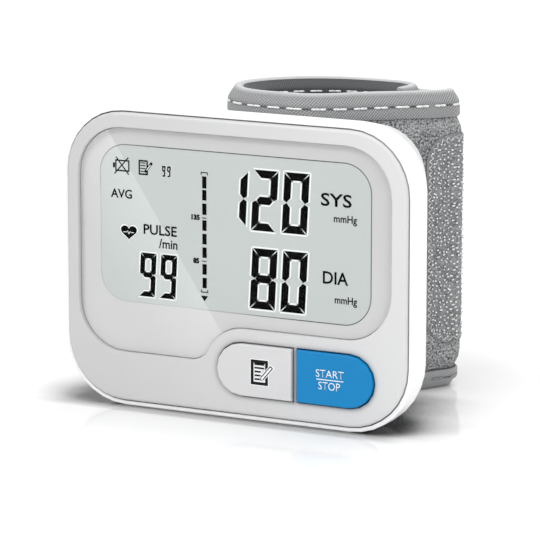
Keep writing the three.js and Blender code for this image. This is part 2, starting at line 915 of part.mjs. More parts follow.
function bridgeContact() {
  return joined([
    contactPlate(leftCellX, rightCellX, leafBottom),
    springLeaf(leftCellX, leafBottom + contactThickness / 2, 1),
  ]);
}

function plusContact() {
  return contactPlate(leftCellX, leftCellX, leafTop - contactThickness);
}

function minusContact() {
  return joined([
    contactPlate(rightCellX, rightCellX, leafTop - contactThickness),
    springLeaf(rightCellX, leafTop - contactThickness / 2, -1),
  ]);
}

const leftCellBottom = leafBottom + contactThickness + leafHeight - contactThickness + clearance;
const rightCellBottom = leafBottom + contactThickness + clearance;

// Air pump

function motorCan() {
  const shape = [
    [0, 0],
    [motorRadius - motorEdgeBreak, 0],
    [motorRadius, motorEdgeBreak],
    [motorRadius, motorLength - motorEdgeBreak],
    [motorRadius - motorEdgeBreak, motorLength],
    [0, motorLength],
  ];
  const can = turned(shape, roundSides, pumpX, airAxisY, motorBottom);
  return cut(can, [
    rodZ(
      pumpX,
      airAxisY,
      motorBottom - overrun,
      motorBottom + motorBoreDepth,
      shaftRadius + clearance,
    ),
  ]);
}

const headTop = motorBottom - clearance;
const chamberBottom = headTop - headChamberDepth;

function motorShaft() {
  const crankTop = headTop - clearance;
  const crankBottom = crankTop - crankThickness;
  const pinX = pumpX + crankPinOffset;
  return joined([
    rodZ(
      pumpX,
      airAxisY,
      crankTop - sliver,
      motorBottom + motorBoreDepth - clearance,
      shaftRadius,
    ),
    rodZ(pumpX, airAxisY, crankBottom, crankTop, crankRadius, roundSides),
    rodZ(pinX, airAxisY, crankBottom - crankPinLength, crankBottom + sliver, crankPinRadius),
  ]);
}

function pumpHead() {
  const half = headWidth / 2;
  const bottom = headTop - headLength;
  const outline = roundedRect(
    pumpX - half,
    pumpX + half,
    airAxisY - half,
    airAxisY + half,
    headCornerRadius,
  );
  const spigotX = pumpX - half - spigotLength;
  const body = joined([
    prismZ(outline, bottom, headTop),
    rodX(airAxisY, blockZ, spigotX, pumpX - half + sliver, spigotRadius),
  ]);
  return cut(body, [
    rodZ(pumpX, airAxisY, chamberBottom, headTop + overrun, headChamberRadius, roundSides),
    rodX(airAxisY, blockZ, spigotX - overrun, pumpX, spigotBore),
    rodZ(pumpX, airAxisY, blockZ - spigotBore, chamberBottom + sliver, spigotBore),
  ]);
}

// Connector block: spigots to the pump, the valve, the sensor and the cuff

const blockHalf = blockWidth / 2;
const cuffSpigotEndY = cuffNearY + clothThickness + clearance + stiffenerThickness;

function airBlock() {
  const body = block(
    blockX - blockHalf,
    blockX + blockHalf,
    airAxisY - blockHalf,
    airAxisY + blockHalf,
    blockZ - blockHalf,
    blockZ + blockHalf,
  );
  const reach = blockHalf + spigotLength;
  return cut(
    joined([
      body,
      rodX(airAxisY, blockZ, blockX, blockX + reach, spigotRadius),
      rodZ(blockX, airAxisY, blockZ - reach, blockZ + reach, spigotRadius),
      rodY(blockX, blockZ, airAxisY, cuffSpigotEndY, cuffSpigotRadius),
    ]),
    [
      rodX(airAxisY, blockZ, blockX, blockX + reach + overrun, spigotBore),
      rodZ(blockX, airAxisY, blockZ - reach - overrun, blockZ + reach + overrun, spigotBore),
      rodY(blockX, blockZ, airAxisY, cuffSpigotEndY + overrun, cuffSpigotBore),
    ],
  );
}

// A hose along a path, open at both ends
function hose(path, steps) {
  const shape = new THREE.Shape();
  shape.absarc(0, 0, hoseInnerRadius + hoseWall, 0, 2 * Math.PI, false);
  const bore = new THREE.Path();
  bore.absarc(0, 0, hoseInnerRadius, 0, 2 * Math.PI, true);
  shape.holes.push(bore);
  const geometry = new THREE.ExtrudeGeometry(shape, {
    steps,
    curveSegments: cornerSteps + 1,
    bevelEnabled: false,
    extrudePath: path,
  });
  return solidOf(geometry);
}

const vector = (x, y, z) => new THREE.Vector3(x, y, z);

function pumpHose() {
  const start = blockX + blockHalf + clearance;
  const end = pumpX - headWidth / 2 - clearance;
  return hose(new THREE.LineCurve3(vector(start, airAxisY, blockZ), vector(end, airAxisY, blockZ)), 1);
}

function valveHose() {
  const start = blockZ + blockHalf + clearance;
  const end = valveBottom - clearance;
  return hose(new THREE.LineCurve3(vector(blockX, airAxisY, start), vector(blockX, airAxisY, end)), 1);
}

const sensorFaceY = boardBackY + clearance + sensorThickness;

// This hose comes down from the block and turns forward onto the sensor
function sensorHose() {
  const top = blockZ - blockHalf - clearance;
  const bend = new THREE.QuadraticBezierCurve3(
    vector(blockX, airAxisY, top),
    vector(blockX, airAxisY, sensorZ),
    vector(blockX, sensorFaceY + clearance, sensorZ),
  );
  return hose(bend, 2 * cornerSteps);
}

function pressureSensor() {
  const half = sensorWidth / 2;
  const front = boardBackY + clearance;
  return block(blockX - half, blockX + half, front, sensorFaceY, sensorZ - half, sensorZ + half);
}

// Release valve: a solenoid whose rod closes the air outlet

const valveBoreBottom = valveBottom + valveLength - valveRodLength - valveTravel;

function valveBody() {
  const top = valveBottom + valveLength;
  const spigotBottom = valveBottom - spigotLength;
  return cut(
    joined([
      rodZ(blockX, airAxisY, valveBottom, top, valveRadius, roundSides),
      rodZ(blockX, airAxisY, spigotBottom, valveBottom + sliver, spigotRadius),
    ]),
    [
      rodZ(blockX, airAxisY, valveBoreBottom, top + overrun, valveRodRadius + clearance),
      rodZ(blockX, airAxisY, spigotBottom - overrun, valveBoreBottom + sliver, spigotBore),
    ],
  );
}

function valveRod() {
  const top = valveBottom + valveLength;
  const headBottom = top + valveTravel + clearance;
  return joined([
    rodZ(blockX, airAxisY, headBottom - valveRodLength, headBottom + sliver, valveRodRadius),
    rodZ(blockX, airAxisY, headBottom, headBottom + valveHeadThickness, valveHeadRadius),
  ]);
}

// Cuff route: a spiral that always turns left, kept as points with a heading and a distance along it

function layRoute(start, heading, pieces) {
  let { x, y } = start;
  let along = 0;
  let angle = degrees(heading);
  const points = [{ x, y, angle, along }];
  const centres = [];
  for (const piece of pieces) {
    if (piece.straight !== undefined) {
      x += piece.straight * Math.cos(angle);
      y += piece.straight * Math.sin(angle);
      along += piece.straight;
      centres.push(null);
      points.push({ x, y, angle, along });
      continue;
    }
    const centre = { x: x - piece.radius * Math.sin(angle), y: y + piece.radius * Math.cos(angle) };
    const steps = Math.max(1, Math.ceil(piece.turn / routeStep));
    const step = degrees(piece.turn / steps);
    for (let i = 0; i < steps; i++) {
      angle += step;
      along += piece.radius * step;
      x = centre.x + piece.radius * Math.sin(angle);
      y = centre.y - piece.radius * Math.cos(angle);
      points.push({ x, y, angle, along });
    }
    centres.push(centre);
  }
  return { points, centres, length: along };
}

// The part of a route between two distances along it
function stretchOf(route, from, to) {
  const at = (along) => {
    const found = route.points.findIndex((point, i) => i > 0 && point.along >= along);
    const after = found < 0 ? route.points.length - 1 : found;
    const b = route.points[after];
    const a = route.points[after - 1];
    const share = (along - a.along) / (b.along - a.along);
    return {
      x: a.x + (b.x - a.x) * share,
      y: a.y + (b.y - a.y) * share,
      angle: a.angle + (b.angle - a.angle) * share,
      along,
    };
  };
  const inside = route.points.filter(
    (point) => point.along > from + sliver && point.along < to - sliver,
  );
  return { points: [at(from), ...inside, at(to)] };
}

// A stretch that may run straight on past either end of the band
function overshoot(from, to) {
  const stretch = stretchOf(bandRoute, Math.max(from, 0), Math.min(to, bandRoute.length));
  const first = stretch.points[0];
  const last = stretch.points.at(-1);
  const goOn = (point, by) => ({
    ...point,
    x: point.x + by * Math.cos(point.angle),
    y: point.y + by * Math.sin(point.angle),
  });
  const points = [...stretch.points];
  if (from < 0) points.unshift(goOn(first, from));
  if (to > bandRoute.length) points.push(goOn(last, to - bandRoute.length));
  return { points };
}

// A point beside the route. A positive offset is away from the wrist.
const beside = (point, offset) =>
  new THREE.Vector2(
    point.x + offset * Math.sin(point.angle),
    point.y - offset * Math.cos(point.angle),
  );

const wristStart = [
  { straight: endStraight },
  { radius: crownRadius, turn: crownTurn },
  { straight: flankLength },
  { radius: flankRadius, turn: flankTurn },
  { radius: nearCornerRadius, turn: nearCornerTurn },
];
const strapPieces = [
  { straight: cuffNearLength },
  { radius: strapBendRadius, turn: strapBendTurn },
  { straight: strapStraight },
  { radius: strapCurveRadius, turn: strapCurveTurn },
  { straight: strapReach },
];
const startHeading = 90; // degrees

// The route is moved so that its near side lies behind the housing
const trialEnd = layRoute({ x: 0, y: 0 }, startHeading, wristStart).points.at(-1);
const routeStart = {
  x: cuffNearMiddleX - cuffNearLength / 2 - trialEnd.x,
  y: cuffNearY + halfStack - trialEnd.y,
};
const wristRoute = layRoute(routeStart, startHeading, [...wristStart, ...strapPieces]);
const nearStart = layRoute(routeStart, startHeading, wristStart).length;
const nearEnd = nearStart + cuffNearLength;

// The strap folds back, then runs straight until it touches the crown and follows it round
const foldStart = wristRoute.points.at(-1);
const foldCentre = {
  x: foldStart.x - foldRadius * Math.sin(foldStart.angle),
  y: foldStart.y + foldRadius * Math.cos(foldStart.angle),
};
const crownCentre = wristRoute.centres[1];
const tailRadius = crownRadius + 2 * tapeOuter + clearance;
const spanX = crownCentre.x - foldCentre.x;
const spanY = crownCentre.y - foldCentre.y;
const span = Math.hypot(spanX, spanY);
const tailAngle = Math.atan2(spanY, spanX) - Math.asin((tailRadius - foldRadius) / span) + 2 * Math.PI;
const foldTurn = ((tailAngle - foldStart.angle + 2 * Math.PI) % (2 * Math.PI)) * (180 / Math.PI);
const tailRun = Math.sqrt(span ** 2 - (tailRadius - foldRadius) ** 2);
const tailWrap = startHeading + crownTurn + 360 - (foldStart.angle * 180) / Math.PI - foldTurn;
const bandRoute = layRoute(routeStart, startHeading, [
  ...wristStart,
  ...strapPieces,
  { radius: foldRadius, turn: foldTurn },
  { straight: tailRun },
  { radius: tailRadius, turn: tailWrap },
  { straight: tailLength },
]);
const apexAlong = wristRoute.length + degrees(foldTurn / 2) * foldRadius;
const fixedEnd = apexAlong - clearance / 2;
const tailStart = apexAlong + clearance / 2;

// The cuff's top edge falls towards the back: points in its upper half are lowered
function withRimFall(geometry) {
  const position = geometry.attributes.position;
  for (let i = 0; i < position.count; i++) {
    if (position.getZ(i) > cuffHeight / 2) {
      position.setZ(i, position.getZ(i) - rimFall * (position.getY(i) - cuffNearY));
    }
  }
  return geometry;
}

// A band that follows the route between two offsets and two heights
function ribbon(route, inner, outer, z0, z1) {
  const outline = [
    ...route.points.map((point) => beside(point, outer)),
    ...route.points.map((point) => beside(point, inner)).reverse(),
  ];
  const geometry = new THREE.ExtrudeGeometry(new THREE.Shape(outline), {
    depth: z1 - z0,
    bevelEnabled: false,
  });
  geometry.translate(0, 0, z0);
  return solidOf(withRimFall(geometry));
}

const coverInner = halfStack - clothThickness;
const stiffenerOuter = coverInner - clearance;
const bladderInner = stiffenerOuter - stiffenerThickness - clearance - bladderThickness;
const layerStart = tapeThickness + clearance;

const nearHoles = (radius) =>
  studZ.flatMap((z) =>
    [-studX, studX].map((x) =>
      rodY(cuffNearMiddleX + x, z, backY - overrun, cuffNearY + halfStack, radius),
    ),
  );

const nozzleHole = () =>
  rodY(
    blockX,
    blockZ,
    backY,
    cuffNearY + stackThickness + overrun / 2,
    cuffSpigotRadius + clearance,
    roundSides,
  );

function cuffCover() {
  const layer = ribbon(
    stretchOf(bandRoute, layerStart, fixedEnd),
    coverInner,
    halfStack,
    clothBottom,
    clothTop,
  );
  return cut(layer, [...nearHoles(studRadius + clearance), nozzleHole()]);
}

function cuffLining() {
  return ribbon(
    stretchOf(bandRoute, layerStart, fixedEnd),
    -halfStack,
    -coverInner,
    clothBottom,
    clothTop,
  );
}

// A springy sheet inside the cuff. Its studs go through the cover into the carrier.
function cuffStiffener() {
  const sheet = ribbon(
    stretchOf(bandRoute, layerStart + stiffenerMargin, nearEnd + stiffenerPast),
    stiffenerOuter - stiffenerThickness,
    stiffenerOuter,
    clothBottom + stiffenerMargin,
    clothTop - stiffenerMargin,
  );
  const sheetY = cuffNearY + halfStack - stiffenerOuter;
  const studs = studZ.flatMap((z) =>
    [-studX, studX].map((x) =>
      rodY(
        cuffNearMiddleX + x,
        z,
        backY + 2 * clearance,
        sheetY + stiffenerThickness / 2,
        studRadius,
      ),
    ),
  );
  return cut(joined([sheet, ...studs]), [nozzleHole()]);
}

function airBladder() {
  return ribbon(
    stretchOf(bandRoute, layerStart + bladderMargin, nearEnd + stiffenerPast),
    bladderInner,
    bladderInner + bladderThickness,
    clothBottom + bladderMargin,
    clothTop - bladderMargin,
  );
}

// Foam that fills the strap where the stiffener and the bladder end
function strapFoam() {
  return ribbon(
    stretchOf(bandRoute, nearEnd + stiffenerPast + clearance, fixedEnd),
    clearance - coverInner,
    coverInner - clearance,
    clothBottom + bladderMargin,
    clothTop - bladderMargin,
  );
}

// Woven tape folded over the band's edges. It is a channel that wraps one end of the band too.
// side is 1 for the top edge, -1 for the bottom edge and 0 for the end between them.
function edgeTape(from, to, endAtStart, side) {
  const shell = ribbon(stretchOf(bandRoute, from, to), -tapeOuter, tapeOuter, 0, cuffHeight);
  const room = ribbon(
    stretchOf(bandRoute, endAtStart ? from + tapeThickness : from, endAtStart ? to : to - tapeThickness),
    -tapeInner,
    tapeInner,
    tapeThickness,
    cuffHeight - tapeThickness,
  );
  const wide = tapeOuter + tapeCutMargin;
  const past = tapeCutMargin;
  const keepFrom = from - past;
  const keepTo = to + past;
  if (side > 0) {
    const keep = ribbon(overshoot(keepFrom, keepTo), -wide, wide, cuffHeight - tapeHeight, cuffHeight + past);
    return cut(shell, [room]).intersect(keep);
  }
  if (side < 0) {
    const keep = ribbon(overshoot(keepFrom, keepTo), -wide, wide, -past, tapeHeight);
    return cut(shell, [room]).intersect(keep);
  }
  const endFrom = endAtStart ? keepFrom : to - tapeEndWidth;
  const endTo = endAtStart ? from + tapeEndWidth : keepTo;
  const keep = ribbon(
    overshoot(endFrom, endTo),
    -wide,
    wide,
    tapeHeight + clearance,
    cuffHeight - tapeHeight - clearance,
  );
  return cut(shell, [room]).intersect(keep);
}

// A patch of hook tape sewn on the outer face of the strap, with its visible corners rounded
function hookPatch() {
  const from = nearEnd + stiffenerPast;
  const band = ribbon(
    stretchOf(bandRoute, from, fixedEnd - hookFoldMargin),
    tapeInner,
    tapeInner + hookThickness,
    hookBottom - overrun,
    hookTop + overrun,
  );
  const outline = roundedRect(hookStartX, bezelWidth, hookBottom, hookTop, hookCornerRadius);
  return band.intersect(prismY(outline, frontY, cuffNearY + bezelWidth));
}

function tailCover() {
  return ribbon(
    stretchOf(bandRoute, tailStart, bandRoute.length - layerStart),
    coverInner,
    halfStack,
    clothBottom,
    clothTop,
  );
}

function tailLining() {
  return ribbon(
    stretchOf(bandRoute, tailStart, bandRoute.length - layerStart),
    -halfStack,
    -coverInner,
    clothBottom,
    clothTop,
  );
}

function tailFoam() {
  return ribbon(
    stretchOf(bandRoute, tailStart, bandRoute.length - layerStart - bladderMargin),
    clearance - coverInner,
    coverInner - clearance,
    clothBottom + bladderMargin,
    clothTop - bladderMargin,
  );
}

// The pad that grips the cover of the crown when the strap is closed
function tailHookPad() {
  const touch = tailRadius - crownRadius - halfStack - clearance;
  const from = bandRoute.length - tailLength - degrees(tailWrap) * tailRadius;
  const to = bandRoute.length - tapeEndWidth - padMargin;
  return ribbon(
    stretchOf(bandRoute, from, to),
    -touch,
    -tapeInner,
    hookBottom + padMargin,
    hookTop - 2 * padMargin,
  );
}

// Carrier: flat towards the housing, hollowed towards the cuff
function cuffCarrier() {
  const carrierBottom = centreZ - carrierHeight / 2;
  const carrierTop = centreZ + carrierHeight / 2;
  const nearStretch = stretchOf(bandRoute, nearStart - carrierWing, nearEnd + carrierWing);
  const face = nearStretch.points.map((point) => beside(point, halfStack + clearance));
  const flatY = backY + clearance;
  const left = face[0].x;
  const right = face.at(-1).x;
  const outline = [
    new THREE.Vector2(left, flatY),
    ...face,
    new THREE.Vector2(right, flatY),
  ];
  const plan = prismZ(new THREE.Shape(outline), carrierBottom, carrierTop);
  const rounded = prismY(
    roundedRect(left, right, carrierBottom, carrierTop, carrierCornerRadius),
    flatY,
    flatY + stackThickness + overrun,
  );
  const body = plan.intersect(rounded);
  const pilots = carrierScrewZ.map((z) =>
    rodY(
      cuffNearMiddleX,
      z,
      flatY - overrun,
      flatY + carrierScrewSink + clearance,
      screwShankRadius + clearance,
    ),
  );
  return cut(body, [...pilots, ...nearHoles(studRadius + clearance), nozzleHole()]);
}

// Finishes, as [colour, roughness, metalness]
const finishes = {
  shellWhite: [0xf4f5f6, 0.35, 0],
  bezelGrey: [0xdfe1e3, 0.4, 0],
  lensClear: [0xd5d9da, 0.08, 0],
  displayGreen: [0xc5cdca, 0.3, 0],
  innerWhite: [0xe6e6e2, 0.6, 0],
  keyGrey: [0xd9dbdd, 0.4, 0],
  keyBlue: [0x1c8ccb, 0.35, 0],
  boardGreen: [0x1f6b3c, 0.5, 0],
  chipBlack: [0x1b1c1e, 0.5, 0],
  steel: [0xc3c6c9, 0.3, 1],
  cellSleeve: [0x3c4248, 0.4, 0.2],
  hoseSilicone: [0xe9e9e4, 0.5, 0],
  cuffGrey: [0x8f9193, 0.95, 0],
  liningGrey: [0x76787a, 0.95, 0],
  tapeGrey: [0xa9abac, 0.85, 0],
  hookGrey: [0x86888a, 0.8, 0],
  foamGrey: [0x6c6e70, 1, 0],
  bladderBlue: [0xbcc6cf, 0.4, 0],
};

function piece(name, solid, finish) {
  const [color, roughness, metalness] = finishes[finish];
  const material = new THREE.MeshStandardMaterial({ color, roughness, metalness });
  const mesh = new THREE.Mesh(geometryOf(solid), material);
  mesh.name = name;
  return mesh;
}

function group(...meshes) {
  const holder = new THREE.Group();
  holder.add(...meshes);
  return holder;
}

const housing = group(
  piece("front_bezel", frontBezel(), "bezelGrey"),
  piece("rear_shell", rearShell(), "shellWhite"),
  piece("battery_door", batteryDoor(), "shellWhite"),
  ...caseScrewPlaces.map((place, i) => piece(`case_screw_${i + 1}`, caseScrew(place), "steel")),
);

const display = group(
  piece("display_lens", displayLens(), "lensClear"),
  piece("lcd_panel", lcdPanel(), "displayGreen"),
  piece("lcd_holder", lcdHolder(), "innerWhite"),
  piece("lcd_contact_strip", contactStrip(), "chipBlack"),
);

const keys = group(
  piece("memory_key", keyCap(-1), "keyGrey"),
  piece("start_stop_key", keyCap(1), "keyBlue"),
  piece("memory_switch", switchBody(-1), "chipBlack"),
  piece("start_stop_switch", switchBody(1), "chipBlack"),
  piece("memory_switch_stem", switchStem(-1), "innerWhite"),
  piece("start_stop_switch_stem", switchStem(1), "innerWhite"),
);

const electronics = group(
  piece("circuit_board", circuitBoard(), "boardGreen"),
  piece("control_chip", controlChip(), "chipBlack"),
  piece("pressure_sensor", pressureSensor(), "chipBlack"),
  piece("battery_1", cell(leftCellX, leftCellBottom, true), "cellSleeve"),
  piece("battery_2", cell(rightCellX, rightCellBottom, false), "cellSleeve"),
  piece("battery_bridge_contact", bridgeContact(), "steel"),
  piece("battery_plus_contact", plusContact(), "steel"),
  piece("battery_minus_contact", minusContact(), "steel"),
);

const air = group(
  piece("pump_motor", motorCan(), "steel"),
  piece("pump_crankshaft", motorShaft(), "steel"),
  piece("pump_head", pumpHead(), "innerWhite"),
  piece("air_block", airBlock(), "innerWhite"),
  piece("pump_hose", pumpHose(), "hoseSilicone"),
  piece("valve_hose", valveHose(), "hoseSilicone"),
  piece("sensor_hose", sensorHose(), "hoseSilicone"),
  piece("release_valve", valveBody(), "steel"),
  piece("valve_rod", valveRod(), "steel"),
);

const cuff = group(
  piece("cuff_carrier", cuffCarrier(), "shellWhite"),
  ...carrierScrewZ.map((z, i) => piece(`carrier_screw_${i + 1}`, carrierScrew(z), "steel")),
  piece("cuff_cover", cuffCover(), "cuffGrey"),
  piece("cuff_lining", cuffLining(), "liningGrey"),
  piece("cuff_stiffener", cuffStiffener(), "innerWhite"),
  piece("air_bladder", airBladder(), "bladderBlue"),
  piece("strap_foam", strapFoam(), "foamGrey"),
  piece("cuff_top_tape", edgeTape(0, fixedEnd, true, 1), "tapeGrey"),
  piece("cuff_bottom_tape", edgeTape(0, fixedEnd, true, -1), "tapeGrey"),
  piece("cuff_end_tape", edgeTape(0, fixedEnd, true, 0), "tapeGrey"),
  piece("hook_patch", hookPatch(), "hookGrey"),
);

const tail = group(
  piece("tail_cover", tailCover(), "cuffGrey"),
  piece("tail_lining", tailLining(), "liningGrey"),
  piece("tail_foam", tailFoam(), "foamGrey"),
  piece("tail_top_tape", edgeTape(tailStart, bandRoute.length, false, 1), "tapeGrey"),
  piece("tail_bottom_tape", edgeTape(tailStart, bandRoute.length, false, -1), "tapeGrey"),
  piece("tail_end_tape", edgeTape(tailStart, bandRoute.length, false, 0), "tapeGrey"),
  piece("tail_hook_pad", tailHookPad(), "hookGrey"),
);

export default group(housing, display, keys, electronics, air, cuff, tail);
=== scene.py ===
import math
import random

import bpy
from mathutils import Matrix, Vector


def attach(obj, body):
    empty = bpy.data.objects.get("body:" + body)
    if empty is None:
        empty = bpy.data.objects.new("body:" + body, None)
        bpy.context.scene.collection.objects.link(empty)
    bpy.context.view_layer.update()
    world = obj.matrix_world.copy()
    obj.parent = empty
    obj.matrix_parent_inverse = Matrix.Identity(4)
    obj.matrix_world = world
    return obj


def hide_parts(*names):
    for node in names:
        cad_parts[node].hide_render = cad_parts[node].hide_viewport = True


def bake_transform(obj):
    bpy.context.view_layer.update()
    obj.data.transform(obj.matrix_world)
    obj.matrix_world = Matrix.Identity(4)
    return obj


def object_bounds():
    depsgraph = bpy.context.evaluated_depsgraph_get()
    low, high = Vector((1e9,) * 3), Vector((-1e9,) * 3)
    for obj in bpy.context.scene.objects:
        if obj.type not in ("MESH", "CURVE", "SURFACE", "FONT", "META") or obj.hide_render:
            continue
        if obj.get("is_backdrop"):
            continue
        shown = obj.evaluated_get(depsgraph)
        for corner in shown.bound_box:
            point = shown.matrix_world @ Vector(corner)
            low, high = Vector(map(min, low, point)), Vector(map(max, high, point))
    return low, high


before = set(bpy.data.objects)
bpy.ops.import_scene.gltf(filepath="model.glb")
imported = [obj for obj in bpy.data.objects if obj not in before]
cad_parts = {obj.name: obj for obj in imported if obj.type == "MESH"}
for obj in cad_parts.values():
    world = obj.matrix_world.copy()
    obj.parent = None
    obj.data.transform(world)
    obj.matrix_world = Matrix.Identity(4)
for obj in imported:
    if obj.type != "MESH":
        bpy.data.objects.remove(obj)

# Measures are in millimetres, with x across, y in depth and z up, as in the CAD frame
MM = 0.001
cad_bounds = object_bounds()


# Colours are written as 0 to 255 values and turned into linear light
def linear(value):
    share = value / 255
    return share / 12.92 if share <= 0.04045 else ((share + 0.055) / 1.055) ** 2.4


def rgb(red, green, blue):
    return (linear(red), linear(green), linear(blue), 1)


def grey(value):
    return rgb(value, value, value)


# What one node gives to others. Sums of such values are written as plain arithmetic.
class Value:
    def __init__(self, nodes, socket):
        self.nodes = nodes
        self.socket = socket

    def __add__(self, other):
        return self.nodes.maths("ADD", self, other)

    def __sub__(self, other):
        return self.nodes.maths("SUBTRACT", self, other)

    def __rsub__(self, other):
        return self.nodes.maths("SUBTRACT", other, self)

    def __mul__(self, other):
        return self.nodes.maths("MULTIPLY", self, other)

    def __abs__(self):
        return self.nodes.maths("ABSOLUTE", self)

    def most(self, other):
        return self.nodes.maths("MAXIMUM", self, other)

    # The stretch from low to high laid on the one from to_low to to_high
    def spread(self, low, high, to_low=0.0, to_high=1.0):
        inputs = {"Value": self, "From Min": low, "From Max": high, "To Min": to_low, "To Max": to_high}
        return self.nodes.read("ShaderNodeMapRange", "Result", inputs)


# A node tree under construction
class Nodes:
    def __init__(self, tree):
        self.tree = tree
        tree.nodes.clear()

    def link(self, source, target):
        if isinstance(source, Value):
            self.tree.links.new(source.socket, target)
        else:
            target.default_value = source

    def node(self, kind, inputs, **settings):
        made = self.tree.nodes.new(kind)
        for name, setting in settings.items():
            setattr(made, name, setting)
        for name, source in inputs.items():
            self.link(source, made.inputs[name])
        return made

    # One output of a new node
    def read(self, kind, output, inputs=None, **settings):
        return Value(self, self.node(kind, inputs or {}, **settings).outputs[output])

    def maths(self, operation, first, second=0.0):
        return self.read("ShaderNodeMath", 0, {0: first, 1: second}, operation=operation)

    def mix_shaders(self, share, first, second):
        return self.read("ShaderNodeMixShader", 0, {0: share, 1: first, 2: second})

    # 1 for what is seen, also in a reflection or through glass, and 0 for light that falls on things
    def is_seen(self):
        path = self.node("ShaderNodeLightPath", {})
        kinds = ("Is Camera Ray", "Is Glossy Ray", "Is Transmission Ray")
        camera, glossy, clear = [Value(self, path.outputs[kind]) for kind in kinds]
        return camera.most(glossy).most(clear)


# The span that a noise pattern mostly keeps to
noise_span = (0.3, 0.7)

socket_names = {
    "metal": "Metallic",
    "coat": "Coat Weight",
    "coat_rough": "Coat Roughness",
    "sheen": "Sheen Weight",
    "specular": "Specular IOR Level",
    "clear": "Transmission Weight",
    "soft": "Subsurface Weight",
    "soft_reach": "Subsurface Scale",
}


# A material under construction, with its patterns laid in the object's or the cloth's own measures
class Shader(Nodes):
    def __init__(self, name, place="Object", **settings):
        self.material = bpy.data.materials.new(name)
        self.material.use_nodes = True
        super().__init__(self.material.node_tree)
        self.output = self.node("ShaderNodeOutputMaterial", {})
        surface = {socket_names[key]: setting for key, setting in settings.items()}
        self.surface = self.node("ShaderNodeBsdfPrincipled", surface)
        self.body = Value(self, self.surface.outputs["BSDF"])
        self.show(self.body)
        self.place = self.read("ShaderNodeTexCoord", place)

    def show(self, shown):
        self.link(shown, self.output.inputs["Surface"])

    # The place, drawn out along its third axis or turned about it
    def mapped(self, stretch=1.0, turn=0.0):
        inputs = {"Vector": self.place, "Scale": (1, 1, stretch), "Rotation": (0, 0, math.radians(turn))}
        return self.read("ShaderNodeMapping", "Vector", inputs)

    def noise(self, scale, detail=3.0, rough=0.55, place=None):
        inputs = {"Vector": place or self.place, "Scale": scale, "Detail": detail, "Roughness": rough}
        return self.read("ShaderNodeTexNoise", "Fac", inputs)

    def wave(self, scale, distortion=0.0, detail_scale=1.0, turn=0.0):
        inputs = {"Vector": self.mapped(turn=turn), "Scale": scale, "Distortion": distortion,
                  "Detail Scale": detail_scale}
        return self.read("ShaderNodeTexWave", "Fac", inputs)

    # The place split into its three measures, in millimetres
    def parts(self):
        split = self.node("ShaderNodeSeparateXYZ", {"Vector": self.place})
        return [Value(self, output) * (1 / MM) for output in split.outputs]

    def mix(self, share, first, second, blend="MIX"):
        inputs = {"Factor": share, "A": first, "B": second}
        return self.read("ShaderNodeMix", "Result", inputs, data_type="RGBA", blend_type=blend)

    # How open a place is, from 0 in a deep corner to 1
    def openness(self, reach, samples=6):
        return self.read("ShaderNodeAmbientOcclusion", "AO", {"Distance": reach * MM}, samples=samples)

    # Painted shade: darker where another surface stands close, as in a seam
    def painted_crevice_shade(self, colour, reach, darkest=0.2):
        return self.mix(1.0, colour, self.openness(reach).spread(0.25, 0.85, darkest, 1.0), "MULTIPLY")

    def paint(self, colour):
        self.link(colour, self.surface.inputs["Base Color"])

    def rough(self, pattern, low, high):
        self.link(pattern.spread(*noise_span, low, high), self.surface.inputs["Roughness"])

    def bump(self, height, strength, depth, under=None):
        inputs = {"Height": height, "Strength": strength, "Distance": depth * MM}
        if under:
            inputs["Normal"] = under
        normal = self.read("ShaderNodeBump", "Normal", inputs)
        self.link(normal, self.surface.inputs["Normal"])
        return normal

    def rounded(self, radius):
        return self.read("ShaderNodeBevel", "Normal", {"Radius": radius * MM}, samples=6)


# Moulded plastic: slow colour drift, a fine satin grain and softened edges
def plastic(name, colour, low, high, edge=0.25, grain=2600.0, relief=0.03, wear_and_rim_highlight=4, smudge=(420.0, 3.0),
            tone=None, **settings):
    shader = Shader(name, coat_rough=0.08, **settings)
    drift = shader.noise(55.0, 2.0).spread(*noise_span)
    darker = rgb(*(max(value - wear_and_rim_highlight, 0) for value in colour))
    paint = shader.mix(drift, darker, rgb(*colour))
    shader.paint(tone(shader, paint) if tone else paint)
    shader.rough(shader.noise(*smudge), low, high)
    shader.bump(shader.noise(grain, 2.0), relief, 0.05, shader.rounded(edge) if edge else None)
    return shader.material


# The key opening's outline: a level pill
pill_ends = (-3.73, 34.42)
pill_z = 11.57
pill_radius = 5.85
pill_middle = (pill_ends[0] + pill_ends[1]) / 2
pill_half = (pill_ends[1] - pill_ends[0]) / 2 - pill_radius
bezel_half = 42


# The bezel's colour with painted light and shade: lighter to the right, and a painted shadow in the soft dip
# round the keys
def bezel_painted_light_and_shade(shader, paint):
    across, _, height = shader.parts()
    # Painted light: lighter towards the right
    painted_right_light = shader.mix(across.spread(-bezel_half, bezel_half), paint, grey(217))
    side = (abs(across - pill_middle) - pill_half).most(0.0)
    rise = height - pill_z
    away = shader.maths("SQRT", side * side + rise * rise) - pill_radius
    # Painted shadow round the key opening, darkest at its edge
    shade = away.spread(0.2, 1.7, 0.75, 0.0)
    return shader.mix(shade * shade, painted_right_light, rgb(120, 120, 121))


shell_white = plastic("shell_white_plastic", (250, 250, 251), 0.29, 0.31, edge=0.0, grain=900.0, relief=0.002,
                      wear_and_rim_highlight=3, smudge=(60.0, 1.0), coat=0.15)
bezel_grey = plastic("bezel_satin_grey", (199, 199, 200), 0.36, 0.46, edge=0.4, relief=0.04, tone=bezel_painted_light_and_shade)
key_grey = plastic("key_satin_grey", (213, 213, 214), 0.34, 0.44, edge=0.3, coat=0.1)
key_blue = plastic("key_satin_blue", (2, 131, 192), 0.38, 0.5, edge=0.3, wear_and_rim_highlight=6, specular=0.3)
inner_white = plastic("inner_moulding", (230, 230, 226), 0.45, 0.6, edge=0.2, relief=0.12)
chip_black = plastic("chip_epoxy", (30, 31, 33), 0.45, 0.6, edge=0.1, grain=5000.0, relief=0.3)


